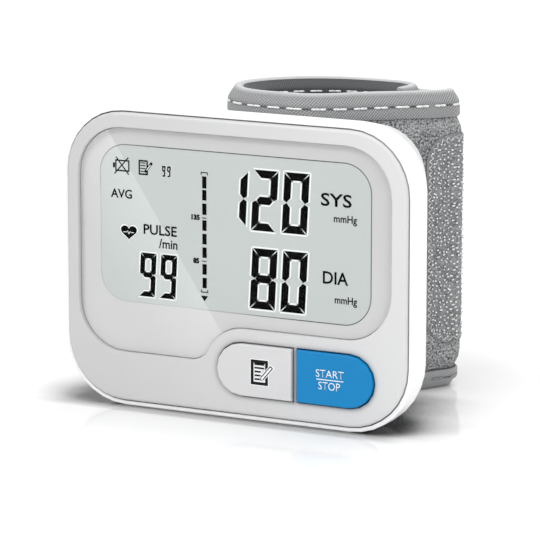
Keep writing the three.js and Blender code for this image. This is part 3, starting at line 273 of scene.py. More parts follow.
def hose_material():
    shader = Shader("silicone_hose", sheen=0.1, clear=0.15, soft=0.2, soft_reach=1.5 * MM)
    shader.paint(shader.mix(shader.noise(140.0), rgb(226, 226, 220), rgb(240, 240, 236)))
    shader.rough(shader.noise(900.0), 0.38, 0.5)
    shader.bump(shader.noise(2500.0), 0.15, 0.03)
    return shader.material


# Bare metal with a drawn grain along one axis
def steel_material():
    shader = Shader("plated_steel", metal=1.0)
    streaks = shader.noise(6000.0, 2.0, place=shader.mapped(0.05))
    shader.paint(shader.mix(shader.noise(180.0), rgb(186, 188, 190), rgb(214, 215, 214)))
    shader.rough(streaks, 0.22, 0.38)
    shader.bump(streaks, 0.12, 0.01, shader.rounded(0.1))
    return shader.material


# Solder mask with copper tracks showing through as paler lines
def board_material():
    shader = Shader("board_solder_mask", coat=0.4, coat_rough=0.2)
    inputs = {"Vector": shader.place, "Scale": 170.0, "Mortar Size": 0.06, "Color1": rgb(26, 96, 54),
              "Color2": rgb(30, 104, 60), "Mortar": rgb(52, 134, 82)}
    tracks = shader.node("ShaderNodeTexBrick", inputs, offset=0.37, squash=0.7)
    shader.paint(Value(shader, tracks.outputs["Color"]))
    shader.rough(shader.noise(600.0), 0.3, 0.5)
    shader.bump(Value(shader, tracks.outputs["Fac"]), 0.3, 0.04)
    return shader.material


# A plain shrink sleeve with a pale band at one end and small wrinkles
cell_band_z = 44


def cell_material():
    shader = Shader("cell_sleeve", coat=0.5, coat_rough=0.12)
    _, _, height = shader.parts()
    band = shader.maths("GREATER_THAN", height, cell_band_z)
    body = shader.mix(shader.noise(90.0), rgb(52, 60, 66), rgb(64, 72, 78))
    shader.paint(shader.mix(band, body, rgb(176, 180, 182)))
    shader.rough(shader.noise(500.0), 0.26, 0.4)
    shader.bump(shader.noise(900.0, place=shader.mapped(0.3)), 0.2, 0.05)
    return shader.material


def bladder_material():
    shader = Shader("bladder_sheet", coat=0.2)
    shader.paint(shader.mix(shader.noise(70.0), rgb(184, 194, 204), rgb(198, 208, 216)))
    shader.rough(shader.noise(300.0), 0.4, 0.6)
    shader.bump(shader.noise(260.0, 4.0), 0.4, 0.2)
    return shader.material


# The display window, with the heights between which its colour drifts
window_middle = (-0.5, 41.55)
window_half = (33.45, 17.725)
window_radius = 6.5
window_drift = (22, 61)
border_drift = (16, 61)


# The display glass: grey-green, very slightly cloudy, under a gloss sheet
def display_material():
    shader = Shader("display_glass", coat=0.3, coat_rough=0.1)
    _, _, height = shader.parts()
    base = shader.mix(height.spread(*window_drift), rgb(196, 205, 202), rgb(204, 211, 208))
    cloud = shader.noise(60.0, 2.0).spread(0.2, 0.8, 0.0, 0.35)
    shader.paint(shader.mix(cloud, base, rgb(208, 214, 211)))
    shader.rough(shader.noise(4000.0), 0.3, 0.42)
    shader.bump(shader.noise(9000.0), 0.1, 0.01)
    return shader.material


# A painted reflection: a faint sheen that ends along one slanted line across the window and its border. It is
# strongest at the line and fades out to its lower left.
painted_sheen_line = ((-31.97, 62.31), (-4.16, 20.04))
painted_sheen_reach = 17.0
crisp = 0.06


def sheen(across, height):
    (start_x, start_z), (end_x, end_z) = painted_sheen_line
    length = math.hypot(end_x - start_x, end_z - start_z)
    lean_x, lean_z = (end_z - start_z) / length, (start_x - end_x) / length
    side = across * lean_x + height * lean_z - (lean_x * start_x + lean_z * start_z)
    return side.spread(-crisp, crisp) * side.spread(0.0, painted_sheen_reach, 1.0, 0.0)


# The face of the display, right behind the lens: an even grey-green film under the painted reflection
def display_face_material():
    shader = Shader("display_face_film", specular=0.05)
    across, _, height = shader.parts()
    cloud = shader.noise(60.0, 2.0).spread(0.2, 0.8)
    base = shader.mix(cloud, rgb(193, 199, 197), rgb(195, 201, 199))
    # Painted reflection: paler where the sheen lies
    shader.paint(shader.mix(sheen(across, height), base, rgb(206, 212, 210)))
    shader.rough(shader.noise(4000.0), 0.6, 0.75)
    shader.bump(shader.noise(9000.0), 0.05, 0.01)
    return shader.material


def ink_material(name, dark, light, roughness=0.5, specular=0.5):
    shader = Shader(name, specular=specular)
    shader.paint(shader.mix(shader.noise(3000.0), dark, light))
    shader.rough(shader.noise(1500.0), roughness - 0.08, roughness + 0.08)
    return shader.material


# The lens: clear, with a pale border printed on its back face round the display window. The border also
# carries the painted reflection, and a thin dark ring of painted shadow follows the window's edge at its
# upper right.
lens_print_y = -3.0
shadow_ring_inner = (0.02, 0.05)
shadow_ring_outer = (0.2, 0.26)
shadow_ring_corner = (12, 40)


def lens_material():
    shader = Shader("lens_printed_border", specular=0.2)
    across, depth, height = shader.parts()
    side = abs(across - window_middle[0]) - (window_half[0] - window_radius)
    rise = abs(height - window_middle[1]) - (window_half[1] - window_radius)
    side_out = side.most(0.0)
    rise_out = rise.most(0.0)
    outside = shader.maths("SQRT", side_out * side_out + rise_out * rise_out)
    distance = outside + shader.maths("MINIMUM", side.most(rise), 0.0) - window_radius

    border = shader.mix(height.spread(*border_drift), grey(205), rgb(196, 196, 197))
    border = shader.mix(shader.noise(40.0, 2.0).spread(*noise_span, 0.0, 0.25), border, grey(206))
    # Painted reflection on the border, fainter than on the film
    border = shader.mix(sheen(across, height) * 0.6, border, grey(222))
    # Painted shadow: a thin dark ring along the window's edge at its upper right
    ring = distance.spread(*shadow_ring_inner) * distance.spread(*shadow_ring_outer, 1.0, 0.0)
    ring = ring * (across + height).spread(*shadow_ring_corner)
    shader.paint(shader.mix(ring, border, rgb(70, 72, 72)))
    shader.rough(shader.noise(300.0), 0.3, 0.4)

    clear = shader.read("ShaderNodeBsdfTransparent", 0)
    gloss = shader.read("ShaderNodeBsdfGlossy", 0, {"Roughness": 0.03})
    leaving = shader.read("ShaderNodeNewGeometry", "Backfacing")
    shine = shader.read("ShaderNodeFresnel", 0, {"IOR": 1.14}) * (1.0 - leaving)
    window = shader.mix_shaders(shine, clear, gloss)
    on_back = shader.maths("GREATER_THAN", depth, lens_print_y)
    shader.show(shader.mix_shaders(distance.spread(-crisp, crisp) * on_back, window, shader.body))
    return shader.material


# Brushed loop cloth: a fibrous speckle with faint vertical ribs, in metres of the band's own length
def cloth_material(name, dark, light, speckle=2000.0, rib=0.0, depth=0.35):
    shader = Shader(name, "UV", sheen=0.25, specular=0.2)
    fibre = shader.noise(speckle, 4.0, 0.7)
    tufts = shader.read("ShaderNodeTexVoronoi", "Distance", {"Vector": shader.place, "Scale": speckle * 0.8})
    share = fibre * 0.85 + shader.noise(120.0) * 0.18
    # Painted shade in the cloth's folds and along the bindings
    shader.paint(shader.painted_crevice_shade(shader.mix(share.spread(0.43, 0.62), dark, light), 1.4))
    shader.rough(fibre, 0.85, 1.0)
    normal = shader.bump(fibre + tufts * 0.6, 0.7, depth)
    if rib:
        shader.bump(shader.wave(rib), 0.25, 0.2, normal)
    return shader.material


# Twill binding: fine diagonal ribs. It is paler where it turns over the rim, between two places across it, as
# a painted highlight.
def tape_material(name, dark, light, rim=None):
    shader = Shader(name, "UV", sheen=0.2, specular=0.3)
    twill = shader.wave(640.0, 0.5, 3.0, turn=38)
    dots = twill * shader.wave(560.0, 0.4, 2.0, turn=-52)
    fuzz = shader.noise(2600.0)
    weave = twill * 0.25 + dots * 0.45 + fuzz * 0.4
    tone = shader.mix(weave.spread(0.15, 0.9), dark, light)
    if rim:
        _, across, _ = shader.parts()
        first, last = rim
        # Painted highlight along the rim
        wear_and_rim_highlight = across.spread(first - 0.5, first + 0.6) * across.spread(last - 0.6, last + 0.5, 1.0, 0.0)
        tone = shader.mix(wear_and_rim_highlight * 0.55, tone, rgb(226, 227, 228))
    # Painted shade where the binding meets the cloth
    shader.paint(shader.painted_crevice_shade(tone, 1.0, 0.5))
    shader.rough(fuzz, 0.6, 0.8)
    shader.bump(twill * 0.5 + dots * 0.7, 0.4, 0.14)
    return shader.material


# The base of hook tape: a coarse woven speckle under the hooks
def hook_base_material():
    shader = Shader("hook_tape_base", "UV", specular=0.4, sheen=0.1)
    speckle = shader.noise(2300.0, 3.0, 0.7)
    share = shader.noise(500.0, 2.0) * 0.25 + speckle * 0.75
    tone = shader.mix(share.spread(0.38, 0.62), rgb(72, 73, 75), rgb(164, 165, 166))
    # Painted shade round the hooks and the patch's edges
    shader.paint(shader.painted_crevice_shade(tone, 1.0))
    shader.rough(speckle, 0.5, 0.75)
    shader.bump(share, 0.6, 0.25)
    return shader.material


def thread_material(name, dark, light):
    shader = Shader(name, sheen=0.2, specular=0.4)
    twist = shader.wave(1200.0, 0.5, turn=40)
    shader.paint(shader.mix(twist, dark, light))
    shader.rough(shader.noise(2500.0), 0.5, 0.7)
    shader.bump(twist, 0.4, 0.05)
    return shader.material


# A modifier's node group: faces shaded smooth, apart from the edges that turn by more than an angle
def smooth_by_angle(degrees):
    group = bpy.data.node_groups.new("smooth_by_angle", "GeometryNodeTree")
    for direction in ("INPUT", "OUTPUT"):
        group.interface.new_socket("Geometry", in_out=direction, socket_type="NodeSocketGeometry")
    nodes = Nodes(group)
    geometry = nodes.read("NodeGroupInput", 0)
    faces = nodes.read("GeometryNodeSetShadeSmooth", 0, {"Geometry": geometry}, domain="FACE")
    angle = nodes.read("GeometryNodeInputMeshEdgeAngle", "Unsigned Angle")
    inputs = {"A": angle, "B": math.radians(degrees)}
    sharp = nodes.read("FunctionNodeCompare", 0, inputs, data_type="FLOAT", operation="GREATER_THAN")
    inputs = {"Geometry": faces, "Selection": sharp, "Shade Smooth": False}
    edges = nodes.read("GeometryNodeSetShadeSmooth", 0, inputs, domain="EDGE")
    nodes.node("NodeGroupOutput", {0: edges})
    return group


smooth_group = smooth_by_angle(31)
weld_reach = 0.002


# Gives a carried-over node its material and smooths its curved faces
def dress(node, material):
    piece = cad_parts[node]
    piece.data.materials.clear()
    piece.data.materials.append(material)
    piece.modifiers.new("weld", "WELD").merge_threshold = weld_reach * MM
    piece.modifiers.new("smooth", "NODES").node_group = smooth_group
    piece.modifiers.new("weighted", "WEIGHTED_NORMAL").keep_sharp = True


# Mesh building
def mesh_piece(name, points, faces, material, uvs=None, smooth=True):
    mesh = bpy.data.meshes.new(name)
    mesh.from_pydata([Vector(point) * MM for point in points], [], faces)
    mesh.materials.append(material)
    if uvs is not None:
        layer = mesh.uv_layers.new(name="length")
        for loop in mesh.loops:
            u, v = uvs[loop.vertex_index]
            layer.data[loop.index].uv = (u * MM, v * MM)
    for face in mesh.polygons:
        face.use_smooth = smooth
    mesh.validate()
    mesh.update()
    piece = bpy.data.objects.new(name, mesh)
    bpy.context.scene.collection.objects.link(piece)
    return piece


# The faces of a closed tube through rings of as many points each, with both of its ends filled
def tube_faces(base, rings, count):
    faces = []
    for i in range(rings - 1):
        a, b = base + i * count, base + (i + 1) * count
        for j in range(count):
            k = (j + 1) % count
            faces.append((a + j, a + k, b + k, b + j))
    last = base + (rings - 1) * count
    faces.append(tuple(base + j for j in reversed(range(count))))
    faces.append(tuple(last + j for j in range(count)))
    return faces


def signed_volume(mesh):
    total = 0.0
    mesh.calc_loop_triangles()
    for triangle in mesh.loop_triangles:
        a, b, c = (mesh.vertices[i].co for i in triangle.vertices)
        total += a.dot(b.cross(c)) / 6
    return total


# A closed tube through rings of places, with sharp edges round its ends
def tube_piece(name, rings, material, uvs):
    count = len(rings[0])
    points = [place for ring in rings for place in ring]
    piece = mesh_piece(name, points, tube_faces(0, len(rings), count), material, uvs)
    mesh = piece.data
    if signed_volume(mesh) < 0:
        mesh.flip_normals()
    last_ring = len(points) - count
    for edge in mesh.edges:
        first, second = edge.vertices
        edge.use_edge_sharp = max(first, second) < count or min(first, second) >= last_ring
    return piece


# How far each point of a path lies from the first, along the path
def distances(path):
    travelled = [0.0]
    for (ax, ay), (bx, by) in zip(path, path[1:]):
        travelled.append(travelled[-1] + math.hypot(bx - ax, by - ay))
    return travelled


# Marks in order, without those that lie too close after another
def thinned(marks, least):
    ordered = sorted(marks)
    kept = [ordered[0]]
    for mark in ordered[1:]:
        if mark - kept[-1] > least:
            kept.append(mark)
    return kept


# The cuff's route: straight stretches and left-hand arcs of its middle surface, as radius or length and turn
route_start = (17.9896, 42.5315)
route_heading = 90.0
near_reach = 6.0
fold_radius = 3.4
fold_turn = 70.3237
route_steps = [
    (5.0, 0.0),
    (13.5, 135.0),
    (5.0, 0.0),
    (27.0, 45.0),
    (12.5, 90.0),
    (near_reach, 0.0),
    (7.2, 38.0),
    (15.0, 0.0),
    (28.0, 22.0),
    (5.5, 0.0),
    (fold_radius, fold_turn),
    (13.54, 0.0),
    (18.9, 94.6763),
    (6.0, 0.0),
]


# Where a stretch has come to after some way ahead
def led_on(x, y, heading, radius, ahead):
    if not radius:
        return x + ahead * math.cos(heading), y + ahead * math.sin(heading), heading
    after = heading + ahead / radius
    x += radius * (math.sin(after) - math.sin(heading))
    y -= radius * (math.cos(after) - math.cos(heading))
    return x, y, after


def lay_route():
    stretches = []
    place = (*route_start, math.radians(route_heading))
    along = 0.0
    for size, turn in route_steps:
        length = size * math.radians(turn) if turn else size
        stretches.append((along, length, *place, size if turn else 0.0))
        place = led_on(*place, size if turn else 0.0, length)
        along += length
    return stretches, along


route, route_length = lay_route()
strap_end = route[10][0]
fold_apex = strap_end + route[10][1] / 2
near_from = route[5][0]


def route_at(along):
    for start, _, x, y, heading, radius in reversed(route):
        if along >= start or start == 0.0:
            return led_on(x, y, heading, radius, along - start)


cuff_height = 70.3
cuff_near_y = 20.2
rim_fall = 0.045
near_sag = 0.5
sag_span = (-34.0, 10.0)
far_curl = 0.0036
far_from = 50.0
tail_sink = 1.7
sink_span = (1.0, 9.0)
left_bulge = 0.8
left_flare = 0.05
left_span = (6.0, 16.0)
left_start = (4.0, 6.0)
flare_depth = 16.0
upper_margin = 8.0
least_gap = 0.05


# A smooth step from 0 to 1. It begins at start and takes up a span.
def eased(value, start, span):
    share = min(max((value - start) / span, 0.0), 1.0)
    return share * share * (3 - 2 * share)


# How far the upper rim falls: a sag near the housing, a steady fall to the far side, a little more where
# the band turns back, and the tail tucked a little lower than the band that it lies on
def rim_drop(along, y):
    sag = near_sag * eased(-y, *sag_span)
    fall = rim_fall * (y - cuff_near_y) + far_curl * max(y - far_from, 0.0) ** 2
    return sag + fall + tail_sink * eased(along - fold_apex, *sink_span)


# A place on the band: along it, off its middle surface (positive is away from the wrist), and up
def on_band(along, off, up):
    x, y, heading = route_at(along)
    px = x + off * math.sin(heading)
    py = y - off * math.cos(heading)
    half = cuff_height / 2
    top_share = min(max((up - half) / (half - upper_margin), 0.0), 1.0)
    leftward = eased(-px, *left_span) * eased(along, *left_start)
    px -= leftward * (left_bulge + left_flare * min(cuff_height - up, flare_depth))
    return px, py, up - top_share * rim_drop(along, py)


# Places along the band for the rings of a sweep, closer together in the tight fold
def stations(start, end, step=1.5, tight_step=0.45, tight_radius=5):
    marks = {start, end}
    for begin, length, _, _, _, radius in route:
        pace = tight_step if 0 < radius < tight_radius else step
        low, high = max(begin, start), min(begin + length, end)
        if high > low:
            count = max(1, math.ceil((high - low) / pace))
            marks.update(low + (high - low) * i / count for i in range(count + 1))
    return thinned(marks, least_gap)[:-1] + [end]


# Sweeps a closed section along the band. section(along) gives (off, up) points, always as many. A second
# material covers some of the section's points.
def swept(name, marks, section, material, squeeze=None, second=None):
    rings, uvs = [], []
    for along in marks:
        loop = section(along)
        shrink = squeeze(along) if squeeze else 1.0
        rings.append([on_band(along, off * shrink, up) for off, up in loop])
        uvs += [(along, travelled) for travelled in distances(loop)]
    piece = tube_piece(name, rings, material, uvs)
    if second:
        other_material, first, last = second
        piece.data.materials.append(other_material)
        count = len(rings[0])
        for index in range((len(marks) - 1) * count):
            if first <= index % count < last:
                piece.data.polygons[index].material_index = 1
    return piece


# Smooth hills and hollows worked out from a few waves, the same on every run
def ripple(seed, u, v):
    total = 0.0
    maker = random.Random(seed)
    waves = 6
    for _ in range(waves):
        fu = maker.uniform(0.05, 0.4)
        fv = maker.uniform(-0.12, 0.12)
        phase = maker.uniform(0, 2 * math.pi)
        total += math.sin(fu * u + fv * v + phase)
    return total / waves


half_stack = 1.75
tape_outer = 2.35
tape_wall = 0.45
top_tape_height = 6.2
low_tape_height = 4.5
top_seam_drop = 3.4
low_seam_drop = 2.6
rim_radius = 1.1
cloth_inset = 3.0
cloth_levels = 34
cloth_span = cuff_height - 2 * cloth_inset
cloth_heights = [cloth_inset + cloth_span * i / cloth_levels for i in range(cloth_levels + 1)]
cloth_rise = 0.2
cloth_ripple = 0.12
strap_swell = 0.85
strap_span = (near_from + near_reach + 2.0, 9.0)
lining_rise = 0.15
lining_wrinkle = 0.38
cloth_back = 0.1
end_reach = 5.0
end_pinch = 0.76
end_span = (end_reach + 0.2, 4.0)
pinch_span = (-0.2, 1.8)
swell_span = (-1.0, 5.0)
cover_seed = 3
crease_seed = 5
fold_seed = 9
wrinkle_pace = 0.62
wrinkle_bend = 0.8
wrinkle_stretch = 0.4


# How far a height lies past the edge of the nearer binding
def past_tape(up):
    return min(up, cuff_height - up) - (low_tape_height if up < cuff_height / 2 else top_tape_height)


# How far a place along the band lies from its bound ends, from 0 under the end binding to 1
def clear_of_end(along):
    return eased(min(along, route_length - along), *end_span)


# How freely the padding swells at a place, from 0 under a binding to 1 well clear of it
def swell_at(along, up):
    return eased(past_tape(up), *swell_span) * clear_of_end(along)


# The band's half thickness, which is pinched under the bindings
def half_thick(along, up):
    clear = min(eased(past_tape(up), *pinch_span), clear_of_end(along))
    return half_stack * (end_pinch + (1 - end_pinch) * clear)


# The outer face of the padded band. It swells where nothing presses on it, on the strap and the tail.
def cover_off(along, up):
    swell = swell_at(along, up)
    padding = cloth_rise + strap_swell * eased(along, *strap_span)
    return half_thick(along, up) + swell * (padding + cloth_ripple * ripple(cover_seed, along, up))


def cover_section(along):
    face = [(cover_off(along, up), up) for up in cloth_heights]
    return face + [(cloth_back, up) for up in reversed(cloth_heights)]


# The inner face, with soft wrinkles across the band
def lining_section(along):
    face = []
    for up in cloth_heights:
        bend = wrinkle_bend * ripple(fold_seed, along * wrinkle_stretch, up)
        fold = abs(math.sin(along * wrinkle_pace + bend)) ** 3
        crease = lining_wrinkle * fold * (0.5 + 0.5 * ripple(crease_seed, along, up))
        face.append((-half_thick(along, up) - swell_at(along, up) * (lining_rise + crease), up))
    return face + [(0.0, up) for up in reversed(cloth_heights)]


# The binding's section, as (off, down from the rim): up the outer leg, round the rim and down the inner
# leg, then back inside. The seam pulls a groove into both legs.
rim_arc = [
    (rim_radius * math.cos(math.radians(turn)), rim_radius - rim_radius * math.sin(math.radians(turn)))
    for turn in range(15, 180, 15)
]
groove_reach = 0.55
groove_floor = 0.12
groove_depth = 0.32
tape_edge = 0.3


def outer_leg(height, seam):
    below_rim = rim_radius + 0.35
    groove_top = seam - groove_reach
    return [
        (tape_outer - tape_edge, height),
        (tape_outer, height - 0.4),
        (tape_outer, (height + seam) / 2),
        (tape_outer - 0.02, seam + groove_reach),
        (tape_outer - groove_depth + 0.02, seam + groove_floor),
        (tape_outer - groove_depth, seam - groove_floor),
        (tape_outer - 0.12, groove_top),
        (tape_outer - 0.4, below_rim + 0.54 * (groove_top - below_rim)),
        (tape_outer - 0.85, below_rim),
    ]


def mirrored(leg):
    return [(-off, down) for off, down in reversed(leg)]


# The hollow under the rim, which the cloth fills
room_rim = [(-half_stack, 3.6), (-1.4, 2.4), (-0.7, 1.3)]


def tape_loop(height, seam):
    leg = outer_leg(height, seam)
    room_leg = [(-half_stack, height)] + room_rim
    return leg + rim_arc + mirrored(leg) + room_leg + mirrored(room_leg)


leg_points = len(outer_leg(top_tape_height, top_seam_drop))
inner_leg = (leg_points + len(rim_arc) - 2, 2 * leg_points + len(rim_arc) + 1)
crease_zone = (6.0, 30.0)
inner_side = -1.0
crease_span = (0.0, 2.0)
crease_depth = 0.8
inner_crease_seed = 17
inner_crease_pace = 4.5
lip_wave = 0.18
lip_pace = 1.7
lip_reach = 0.6


# The binding's section at a place along the band, with a wavy lip and with creases in its inner leg
def tape_section(at_top, height, seam, seed):
    loop = tape_loop(height, seam)

    def section(along):
        lip = lip_wave * ripple(seed, along * lip_pace, 0)
        creased = crease_zone[0] < along < crease_zone[1]
        hills = ripple(inner_crease_seed, along * inner_crease_pace, 0)
        crease = crease_depth * max(0.0, hills) if creased else 0.0
        placed = []
        for off, down in loop:
            fall = down + lip if down > height - lip_reach else down
            inset = crease * eased(down, *crease_span) if off < inner_side else 0.0
            placed.append((off - inset, cuff_height - fall if at_top else fall))
        return placed
    return section


# The rounded end of the band: sections close in over the last stretch
end_rounding = 2.2
end_flat = 0.02
end_shares = (0.04, 0.12, 0.25, 0.45, 0.7)
end_gap = 0.02


def closing(end_at):
    def squeeze(along):
        share = min(max(1 - abs(along - end_at) / end_rounding, 0.0), 1.0)
        return math.sqrt(max(1 - share * share, end_flat))
    return squeeze


# Places along the band between one of its ends and a cut. They stand closer at the rounded end.
def end_marks(start, end, inward):
    rounded_end = start if inward > 0 else end
    extra = [rounded_end + inward * end_rounding * share for share in end_shares]
    return thinned(stations(start, end) + extra, end_gap)


# Where the static part of the band ends and the bending part begins
band_cut = route[9][0] + 0.6


def fixed(piece):
    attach(piece, "housing")
    return piece


def bending(piece):
    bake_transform(piece)
    return piece


def tail_piece(piece):
    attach(piece, "cuff_tail")
    return piece


cloth = cloth_material("cuff_loop_cloth", rgb(66, 67, 69), rgb(192, 193, 194))
lining = cloth_material("cuff_lining_cloth", rgb(66, 68, 70), rgb(108, 110, 112), speckle=1100.0, rib=260.0,
                        depth=0.2)
twill = tape_material("binding_twill", rgb(108, 109, 110), rgb(186, 187, 188), rim=(6.3, 9.4))
end_twill = tape_material("end_binding_twill", rgb(118, 119, 120), rgb(190, 191, 192))
# A slightly paler copy of the binding twill for the bottom binding: painted light
lit_low_twill = tape_material("lit_low_binding_twill", rgb(116, 117, 118), rgb(186, 187, 188))
# A darker copy of the binding twill on the binding's inner leg: painted shade inside the cuff
shaded_inner_twill = tape_material("shaded_inner_binding_twill", rgb(66, 67, 69), rgb(112, 113, 115))
hook_base = hook_base_material()
seam_thread = thread_material("seam_thread", rgb(214, 215, 216), rgb(252, 252, 252))
# Dark thread for the dips between stitches: painted shade in the seam's holes
shaded_dip_thread = thread_material("seam_dip_shade_thread", rgb(66, 67, 69), rgb(104, 105, 107))
# A greyer copy of the seam thread for the bottom seam: painted shade
shaded_low_thread = thread_material("shaded_low_seam_thread", rgb(112, 113, 115), rgb(156, 157, 159))
zigzag_thread = thread_material("zigzag_thread", rgb(176, 177, 179), rgb(232, 233, 234))
hook_nylon = thread_material("hook_nylon", rgb(206, 208, 210), rgb(246, 247, 248))

open_marks = end_marks(0.0, band_cut, 1)
bend_marks = end_marks(band_cut, route_length, -1)


# One layer of the band is made as two pieces: a part that stays round the wrist, fixed to the housing, and
# the part beyond the cut, by the fold and the tail
def fixed_part(name, section, material, second=None):
    return fixed(swept(name, open_marks, section, material, closing(0.0), second))


def bending_part(name, section, material, second=None):
    return bending(swept(name, bend_marks, section, material, closing(route_length), second))


# The cloth, its lining and the bindings
cuff_cover = fixed_part("cuff_cover_cloth", cover_section, cloth)
cuff_lining = fixed_part("cuff_lining_cloth", lining_section, lining)
fold_cover = bending_part("fold_cover_cloth", cover_section, cloth)
fold_lining = bending_part("fold_lining_cloth", lining_section, lining)
tapes = []
for edge, at_top, height, seam, seed, face_twill in (
    ("top", True, top_tape_height, top_seam_drop, 21, twill),
    ("bottom", False, low_tape_height, low_seam_drop, 22, lit_low_twill),
):
    # The inner leg takes the darker twill, as painted shade
    layer = (tape_section(at_top, height, seam, seed), face_twill, (shaded_inner_twill, *inner_leg))
    tapes.append(fixed_part(f"cuff_{edge}_binding", *layer))
    tapes.append(bending_part(f"fold_{edge}_binding", *layer))

end_levels = 16
end_wave = 0.15
end_seed = 31
end_pace = 1.6
end_radius = tape_outer - 0.1
end_room = end_radius - tape_wall
end_overlap = 0.6
end_low = low_tape_height - end_overlap
end_high = cuff_height - top_tape_height + end_overlap


# Points of a half turn from the outer face round the band's end to the inner face
def end_arc(radius, step):
    turns = [math.radians(degrees) for degrees in range(90, -91, -step)]
    return [(end_radius - radius * math.cos(turn), radius * math.sin(turn)) for turn in turns]


# The binding across an end of the band, between the top and the bottom bindings, as (ahead, off) points
def end_binding(name, end_at, sign):
    lip = [(end_reach, end_radius - 0.25), (end_reach - 0.4, end_radius)]
    inside = [(ahead, -off) for ahead, off in end_arc(end_room, 30)]
    outline = lip + end_arc(end_radius, 15) + [(ahead, -off) for ahead, off in reversed(lip)]
    outline += [(end_reach, -end_room)] + inside + [(end_reach, end_room)]
    rings, uvs = [], []
    for i in range(end_levels + 1):
        up = end_low + (end_high - end_low) * i / end_levels
        wave = end_wave * ripple(end_seed, up * end_pace, 0)
        reaches = [ahead + wave if ahead > end_reach - lip_reach else ahead for ahead, _ in outline]
        rings.append([on_band(end_at + sign * reach, off, up) for reach, (_, off) in zip(reaches, outline)])
        uvs += [(up, travelled) for travelled in distances(outline)]
    return tube_piece(name, rings, end_twill, uvs)


tapes.append(fixed(end_binding("cuff_end_binding", 0.0, 1)))
tapes.append(tail_piece(end_binding("tail_end_binding", route_length, -1)))

# Sewn threads: each stitch is a small rounded bar on the cloth, given as places along it and its fullness
stitch_sides = 6
bar_rings = ((0.0, 0.35), (0.08, 0.8), (0.25, 1.0), (0.75, 1.0), (0.92, 0.8), (1.0, 0.35))


def add_bar(points, faces, a, b, radius):
    a, b = Vector(a), Vector(b)
    axis = (b - a).normalized()
    side = axis.cross(Vector((0, 0, 1)))
    if side.length < 0.1:
        side = axis.cross(Vector((1, 0, 0)))
    side.normalize()
    up = side.cross(axis)
    faces += tube_faces(len(points), len(bar_rings), stitch_sides)
    for share, grow in bar_rings:
        middle = a.lerp(b, share)
        for j in range(stitch_sides):
            turn = -2 * math.pi * j / stitch_sides
            points.append(middle + radius * grow * (math.cos(turn) * side + math.sin(turn) * up))


# A row of light stitches, with the dips of the thread between them, dark as painted shade in the seam. A dip
# falls on the cut, and the inner face has none in the fold.
stitch_dash = 3.1
stitch_gap = 1.6
stitch_pitch = stitch_dash + stitch_gap
stitch_end = 3.0
stitch_radius = 0.27
stitch_rise = 0.03
stitch_overlap = 0.1
dip_overlap = 0.15
dip_radius = 0.17
fold_bare = 5.0
stitch_sink = 0.08
dip_sink = 0.24
column_sink = 0.02
cut_clearance = 1.0


def stitch_row(name, start, end, off, up, material, dash, gap, radius):
    points, faces = [], []
    along = start
    while along + dash <= end:
        middle = along + dash / 2
        if off > 0 or abs(middle - fold_apex) >= fold_bare:
            top = off + stitch_rise
            halves = ((along, off, middle, top), (middle - stitch_overlap, top, along + dash, off))
            for a, a_off, b, b_off in halves:
                add_bar(points, faces, on_band(a, a_off, up), on_band(b, b_off, up), radius)
        along += dash + gap
    return mesh_piece(name, points, faces, material)


fold_first = band_cut + stitch_gap / 2
first_stitch = fold_first - stitch_pitch * int((band_cut - stitch_end) / stitch_pitch)
last_stitch = route_length - stitch_end
dip_start = stitch_dash - dip_overlap
dip_lengths = (stitch_gap + 2 * dip_overlap, stitch_dash - 2 * dip_overlap)
seams = []
for edge, up, thread in (
    ("top", cuff_height - top_seam_drop, seam_thread),
    ("bottom", low_seam_drop, shaded_low_thread),
):
    for side, sign in (("outer", 1), ("inner", -1)):
        stitch = (sign * (tape_outer - stitch_sink), up, thread, stitch_dash, stitch_gap, stitch_radius)
        dip = (sign * (tape_outer - dip_sink), up, shaded_dip_thread, *dip_lengths, dip_radius)
        row = f"{edge}_{side}"
        seams += [
            fixed(stitch_row(f"{row}_stitches", first_stitch, band_cut, *stitch)),
            fixed(stitch_row(f"{row}_dips", first_stitch + dip_start, band_cut - cut_clearance, *dip)),
            bending(stitch_row(f"{row}_fold_stitches", fold_first, last_stitch, *stitch)),
            bending(stitch_row(f"{row}_fold_dips", fold_first + dip_start, last_stitch, *dip)),
        ]

column_low = low_tape_height + 0.6
column_high = cuff_height - top_tape_height - 0.4
column_inset = 3.4


# Stitches up the end bindings, one above another
def stitch_column(name, along, off):
    points, faces = [], []
    up = column_low
    while up + stitch_dash <= column_high:
        add_bar(points, faces, on_band(along, off, up), on_band(along, off, up + stitch_dash), stitch_radius)
        up += stitch_pitch
    return mesh_piece(name, points, faces, seam_thread)


for side, off in (("outer", tape_outer - column_sink), ("inner", column_sink - tape_outer)):
    seams.append(fixed(stitch_column(f"cuff_end_{side}_stitches", column_inset, off)))
    seams.append(tail_piece(stitch_column(f"tail_end_{side}_stitches", route_length - column_inset, off)))

# The patch of hook tape on the strap
hook_thickness = 0.3
hook_low = 11.0
hook_high = cuff_height - 10.2
hook_corner = 6.5
hook_levels = 40
hook_edge = 0.3
hook_bevel = 0.15
hook_root = 0.05
hook_start = strap_end - 6.6
hook_end = fold_apex + 3.4


# How far a rounded corner draws in an edge, near the end of a patch
def corner_inset(near, corner):
    if near >= corner:
        return 0.0
    return corner - math.sqrt(max(corner ** 2 - (corner - near) ** 2, 0.0))


# The patch's lower and upper edge at a place along it, with rounded corners at its start
def hook_edges(along):
    inset = corner_inset(along - hook_start, hook_corner)
    return hook_low + inset, hook_high - inset


def hook_floor(along, up):
    return cover_off(along, up) + hook_thickness


